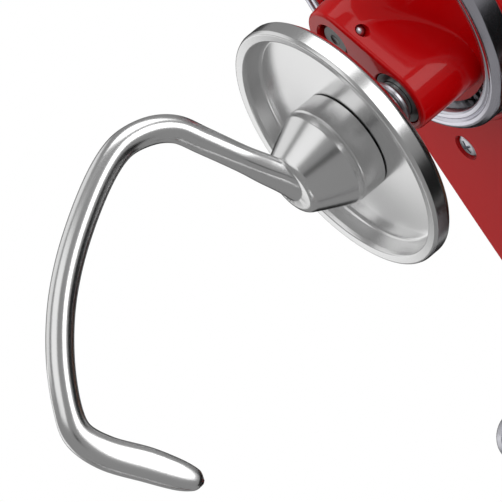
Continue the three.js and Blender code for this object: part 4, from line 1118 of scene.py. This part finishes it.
centre_hole = revolve(rounded([
    (0, -1, 0), (7.0, -1, 0), (7.0, 0.1, 0.2), (6.4, 0.7, 0.2), (6.4, 40, 0), (0, 40, 0)]), 64)
pin_bore = turned_by(disc(2.15, 0, 16, 32), to_lock_pin)
collar = disc(10, flange_top - 1, flange_top + 6, 48)
planetary_form = combine(planetary_form, [collar], "UNION")
planetary_form = combine(planetary_form, [washer_recess, shaft_hole, centre_hole, pin_bore])
planetary = make("planetary_casting", planetary_form, spindle_frame(face_centre), enamel)
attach(planetary, "planet")
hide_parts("planetary")

# ---- centre shaft and lock pin ------------------------------------------------------------
# The end of the steel shaft that drives the planetary casting sits just inside its face, dark
# with oil, and a domed pin through both keeps the casting on it.

oiled, shade, shader = new_finish("oiled_steel", {"Metallic": 1.0})
place = shade.node("ShaderNodeTexCoord", output="Object")
oil = noise(place, 160.0, 5.0)
fine = noise(place, 1500.0)
feed(
    shader,
    Base_Color=between(oil, (0.10, 0.105, 0.105), (0.20, 0.205, 0.205)),
    Roughness=0.22 + 0.2 * oil,
    Normal=bump(fine, 0.1, 0.0001),
)
centre_outline = rounded([
    (0, 2.0, 0), (1.6, 1.6, 0.3), (2.0, 1.3, 0.3), (4.9, 1.3, 0.4), (6, 2.2, 0.3), (6, 88, 0),
    (0, 88, 0)])
centre_shaft = make("planetary_centre_shaft", revolve(centre_outline, 64),
                    spindle_frame(face_centre), oiled)
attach(centre_shaft, "planet")
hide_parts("centre_shaft")

pin_outline = rounded([
    (0, 0.5, 0), (1.95, 0.5, 0.2), (1.95, 11.6, 0.9), (1.2, 12.6, 0.8), (0, 12.9, 0)])
lock_pin = make("planetary_lock_pin", revolve(pin_outline, 40),
                spindle_frame(face_centre) @ to_lock_pin, satin)
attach(lock_pin, "planet")
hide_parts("lock_pin")

# ---- agitator shaft -----------------------------------------------------------------------
# A ground and polished shaft that carries the hook. A circlip in its groove and a dark thrust
# washer keep it in the casting.

shaft_outline = rounded([
    (0, -35.4, 0), (5.6, -35.4, 0.6), (6.35, -34.4, 0.4), (6.35, -3.3, 0.1), (5.5, -3.3, 0.1),
    (5.5, -1.5, 0.1), (6.35, -1.5, 0.1), (6.35, 43.1, 0.4), (0, 43.1, 0)])
cross_hole = turned_by(disc(2.05, -9, 9, 32), Matrix.Translation((0, 0, -23.4))
                       @ Matrix.Rotation(math.radians(35), 4, "Z") @ lay_along_x)
agitator_shaft = make("polished_agitator_shaft", combine(revolve(shaft_outline, 96), [cross_hole]),
                      spindle_frame(agitator_place), polished)
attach(agitator_shaft, "agitator")
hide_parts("agitator_shaft")

washer_outline = rounded([
    (6.65, 0.5, 0.2), (9.3, 0.5, 0.3), (9.3, 1.7, 0.2), (6.65, 1.7, 0), (6.65, 0.9, 0)])
washer = make("agitator_thrust_washer", revolve(washer_outline, 64, closed=True),
              spindle_frame(agitator_place), oiled)
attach(washer, "agitator")
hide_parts("thrust_washer")

# Spring steel bent to an open ring with a lug for the pliers at each end.
clip_gap = 17
clip_turn = 150
clip_rings = []
clip_steps = 64
for step in range(clip_steps + 1):
    share = step / clip_steps
    turn = math.radians(clip_turn + clip_gap + (360 - 2 * clip_gap) * share)
    from_end = min(share, 1 - share) * (360 - 2 * clip_gap)
    outer = 7.7 + (1.9 if from_end < 15 else 0.5 * math.sin(math.pi * share))
    corners = [(5.8, -3.0), (outer - 0.15, -3.0), (outer, -2.85), (outer, -1.95),
               (outer - 0.15, -1.8), (5.8, -1.8)]
    clip_rings.append([(r * math.cos(turn), r * math.sin(turn), z) for r, z in corners])
circlip = make(
    "agitator_circlip", loft(clip_rings), spindle_frame(agitator_place), satin, edge=0.12)
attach(circlip, "agitator")
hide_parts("circlip")

# ---- dough hook ---------------------------------------------------------------------------
# One stainless forging, polished all over: a conical hub bored for the shaft, and an arm that
# leaves its flat end broad and thin, turns round and sweeps down to a flattened paddle tip.

hook_turn = 21.5
collar_radius, cone_radius, cone_drop, groove_drop = 17.3, 10.2, 19.2, 3.2
hub_outline = rounded([
    (0, -cone_drop, 0), (cone_radius, -cone_drop, 3.0), (16.9, -groove_drop - 2.4, 1.6),
    (17.1, -groove_drop - 0.35, 0.3), (16.7, -groove_drop, 0.12),
    (collar_radius, -groove_drop + 0.4, 0.3), (collar_radius, 5.5, 0.3), (14.3, 5.5, 0.2),
    (14.3, 13.2, 0.6), (6.65, 13.2, 0.4), (6.65, -8.8, 0.3), (0, -8.8, 0)])
# across the hook, height, half thickness in its plane, half breadth out of it
arm_stations = [
    (5.0, -15.6, 3.4, 8.0), (-2.0, -18.0, 3.8, 7.6), (-8, -21.1, 3.9, 6.7), (-16, -25.4, 3.8, 5.3),
    (-28, -31.7, 4.2, 4.6), (-35.6, -36, 4.4, 4.4), (-40.3, -43, 4.5, 4.4), (-42.2, -53, 4.4, 4.4),
    (-39.6, -63.4, 4.4, 4.4), (-33, -77, 4.4, 4.4), (-24.4, -90.8, 4.4, 4.4),
    (-14.7, -102.6, 4.4, 4.4),
    (-3, -113, 4.4, 4.4), (9, -120.6, 4.4, 4.4), (17.6, -123.4, 4.8, 4.2), (27, -120.2, 5.3, 3.6),
    (37.6, -112.5, 5.4, 3.2), (46.5, -106.6, 4.7, 2.9), (51, -103.4, 3.2, 2.2),
    (52.6, -102.2, 0.8, 0.7),
]


def through(points, share):
    """A point on the smooth curve through some points, with its direction."""
    last = len(points) - 1
    i = min(int(share * last), last - 1)
    t = share * last - i
    a, b = points[i], points[i + 1]
    before = points[max(i - 1, 0)]
    after = points[min(i + 2, last)]
    leave, arrive = (b - before) / 2, (after - a) / 2
    chord = (b - a).length
    leave *= min(1, chord / max(leave.length, 1e-6))
    arrive *= min(1, chord / max(arrive.length, 1e-6))
    place = ((2 * t ** 3 - 3 * t ** 2 + 1) * a + (t ** 3 - 2 * t ** 2 + t) * leave
             + (3 * t ** 2 - 2 * t ** 3) * b + (t ** 3 - t ** 2) * arrive)
    heading = ((6 * t ** 2 - 6 * t) * a + (3 * t ** 2 - 4 * t + 1) * leave
               + (6 * t - 6 * t ** 2) * b + (3 * t ** 2 - 2 * t) * arrive)
    return place, heading


arm_points = [Vector(station) for station in arm_stations]
arm_steps = 10 * (len(arm_points) - 1)
arm_rings = []
for step in range(arm_steps + 1):
    place, heading = through(arm_points, step / arm_steps)
    across, height, thick, broad = place
    run = Vector((heading[0], heading[1])).normalized()
    normal = Vector((run.y, -run.x))
    ring = []
    for i in range(40):
        turn = 2 * math.pi * i / 40
        squareness = 2 / (2 + 0.9 * min(1, abs(broad - thick) / 2.5))
        offset = thick * power(math.cos(turn), squareness)
        ring.append((across + offset * normal.x, broad * power(math.sin(turn), squareness),
                     height + offset * normal.y))
    arm_rings.append(ring)
dough_hook = make(
    "polished_dough_hook", combine(revolve(hub_outline, 120), [loft(arm_rings)], "UNION"),
    spindle_frame(rim_centre, hook_turn), polished)
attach(dough_hook, "hook")
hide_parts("dough_hook")

# ---- splash shield ------------------------------------------------------------------------
# A pressed and polished stainless dish seated on the hook's hub, with a deep wall whose edge
# is rolled inwards, so that dough that climbs the hook stops there.

shield_radius = 44.5
shield_outline = rounded([
    (14.6, 5.8, 0), (39.4, 6.6, 1.4), (40.4, 1.6, 1.0), (40.9, 0.3, 0.6), (44.0, 0, 0.7),
    (shield_radius, 1.2, 0.8),
    (shield_radius, 6.0, 1.8), (42.3, 8.0, 1.4), (14.6, 7.2, 0)])
shield = make("hook_splash_shield", revolve(shield_outline, 200, closed=True),
              spindle_frame(rim_centre, hook_turn), polished)
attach(shield, "hook")
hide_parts("splash_shield")

# ---- gears, motor and fixings inside ------------------------------------------------------
# The working parts stay as the design has them. Gears are machined steel, the worm wheel and
# bearings bronze, and the motor's stator and armature varnished copper.

bronze, shade, shader = new_finish("machined_bronze", {"Metallic": 1.0})
place = shade.node("ShaderNodeTexCoord", output="Object")
stain = noise(place, 120.0, 4.0)
feed(
    shader,
    Base_Color=between(stain, (0.44, 0.29, 0.13), (0.66, 0.47, 0.24)),
    Roughness=0.28 + 0.18 * stain,
)
copper, shade, shader = new_finish("varnished_copper", {"Metallic": 0.8, "Coat Weight": 0.6})
place = shade.node("ShaderNodeTexCoord", output="Object")
winding = shade.node(
    "ShaderNodeTexWave", {"bands_direction": "Y"}, {"Vector": place, "Scale": 260.0})
feed(
    shader,
    Base_Color=between(winding, (0.30, 0.12, 0.05), (0.66, 0.32, 0.16)),
    Roughness=0.3 + 0.2 * winding,
    Normal=bump(winding, 0.3, 0.0003),
)
finishes = {
    oiled: ["ring_gear", "agitator_pinion", "centre_gear", "centre_bevel_gear", "hub_drive_shaft",
            "worm_bracket", "control_plate"],
    satin: ["cross_pin", "hinge_set_screw", "speed_lever",
            *(f"pedestal_bolt_{number}" for number in range(1, 5))],
    bronze: ["shaft_bushing", "front_bearing", "rear_bearing", "worm_wheel"],
    copper: ["motor_stator", "armature"],
    black: ["cooling_fan"],
}
for finish, names in finishes.items():
    for name in names:
        mesh = frame["nodes"][name].data
        mesh.materials.clear()
        mesh.materials.append(finish)
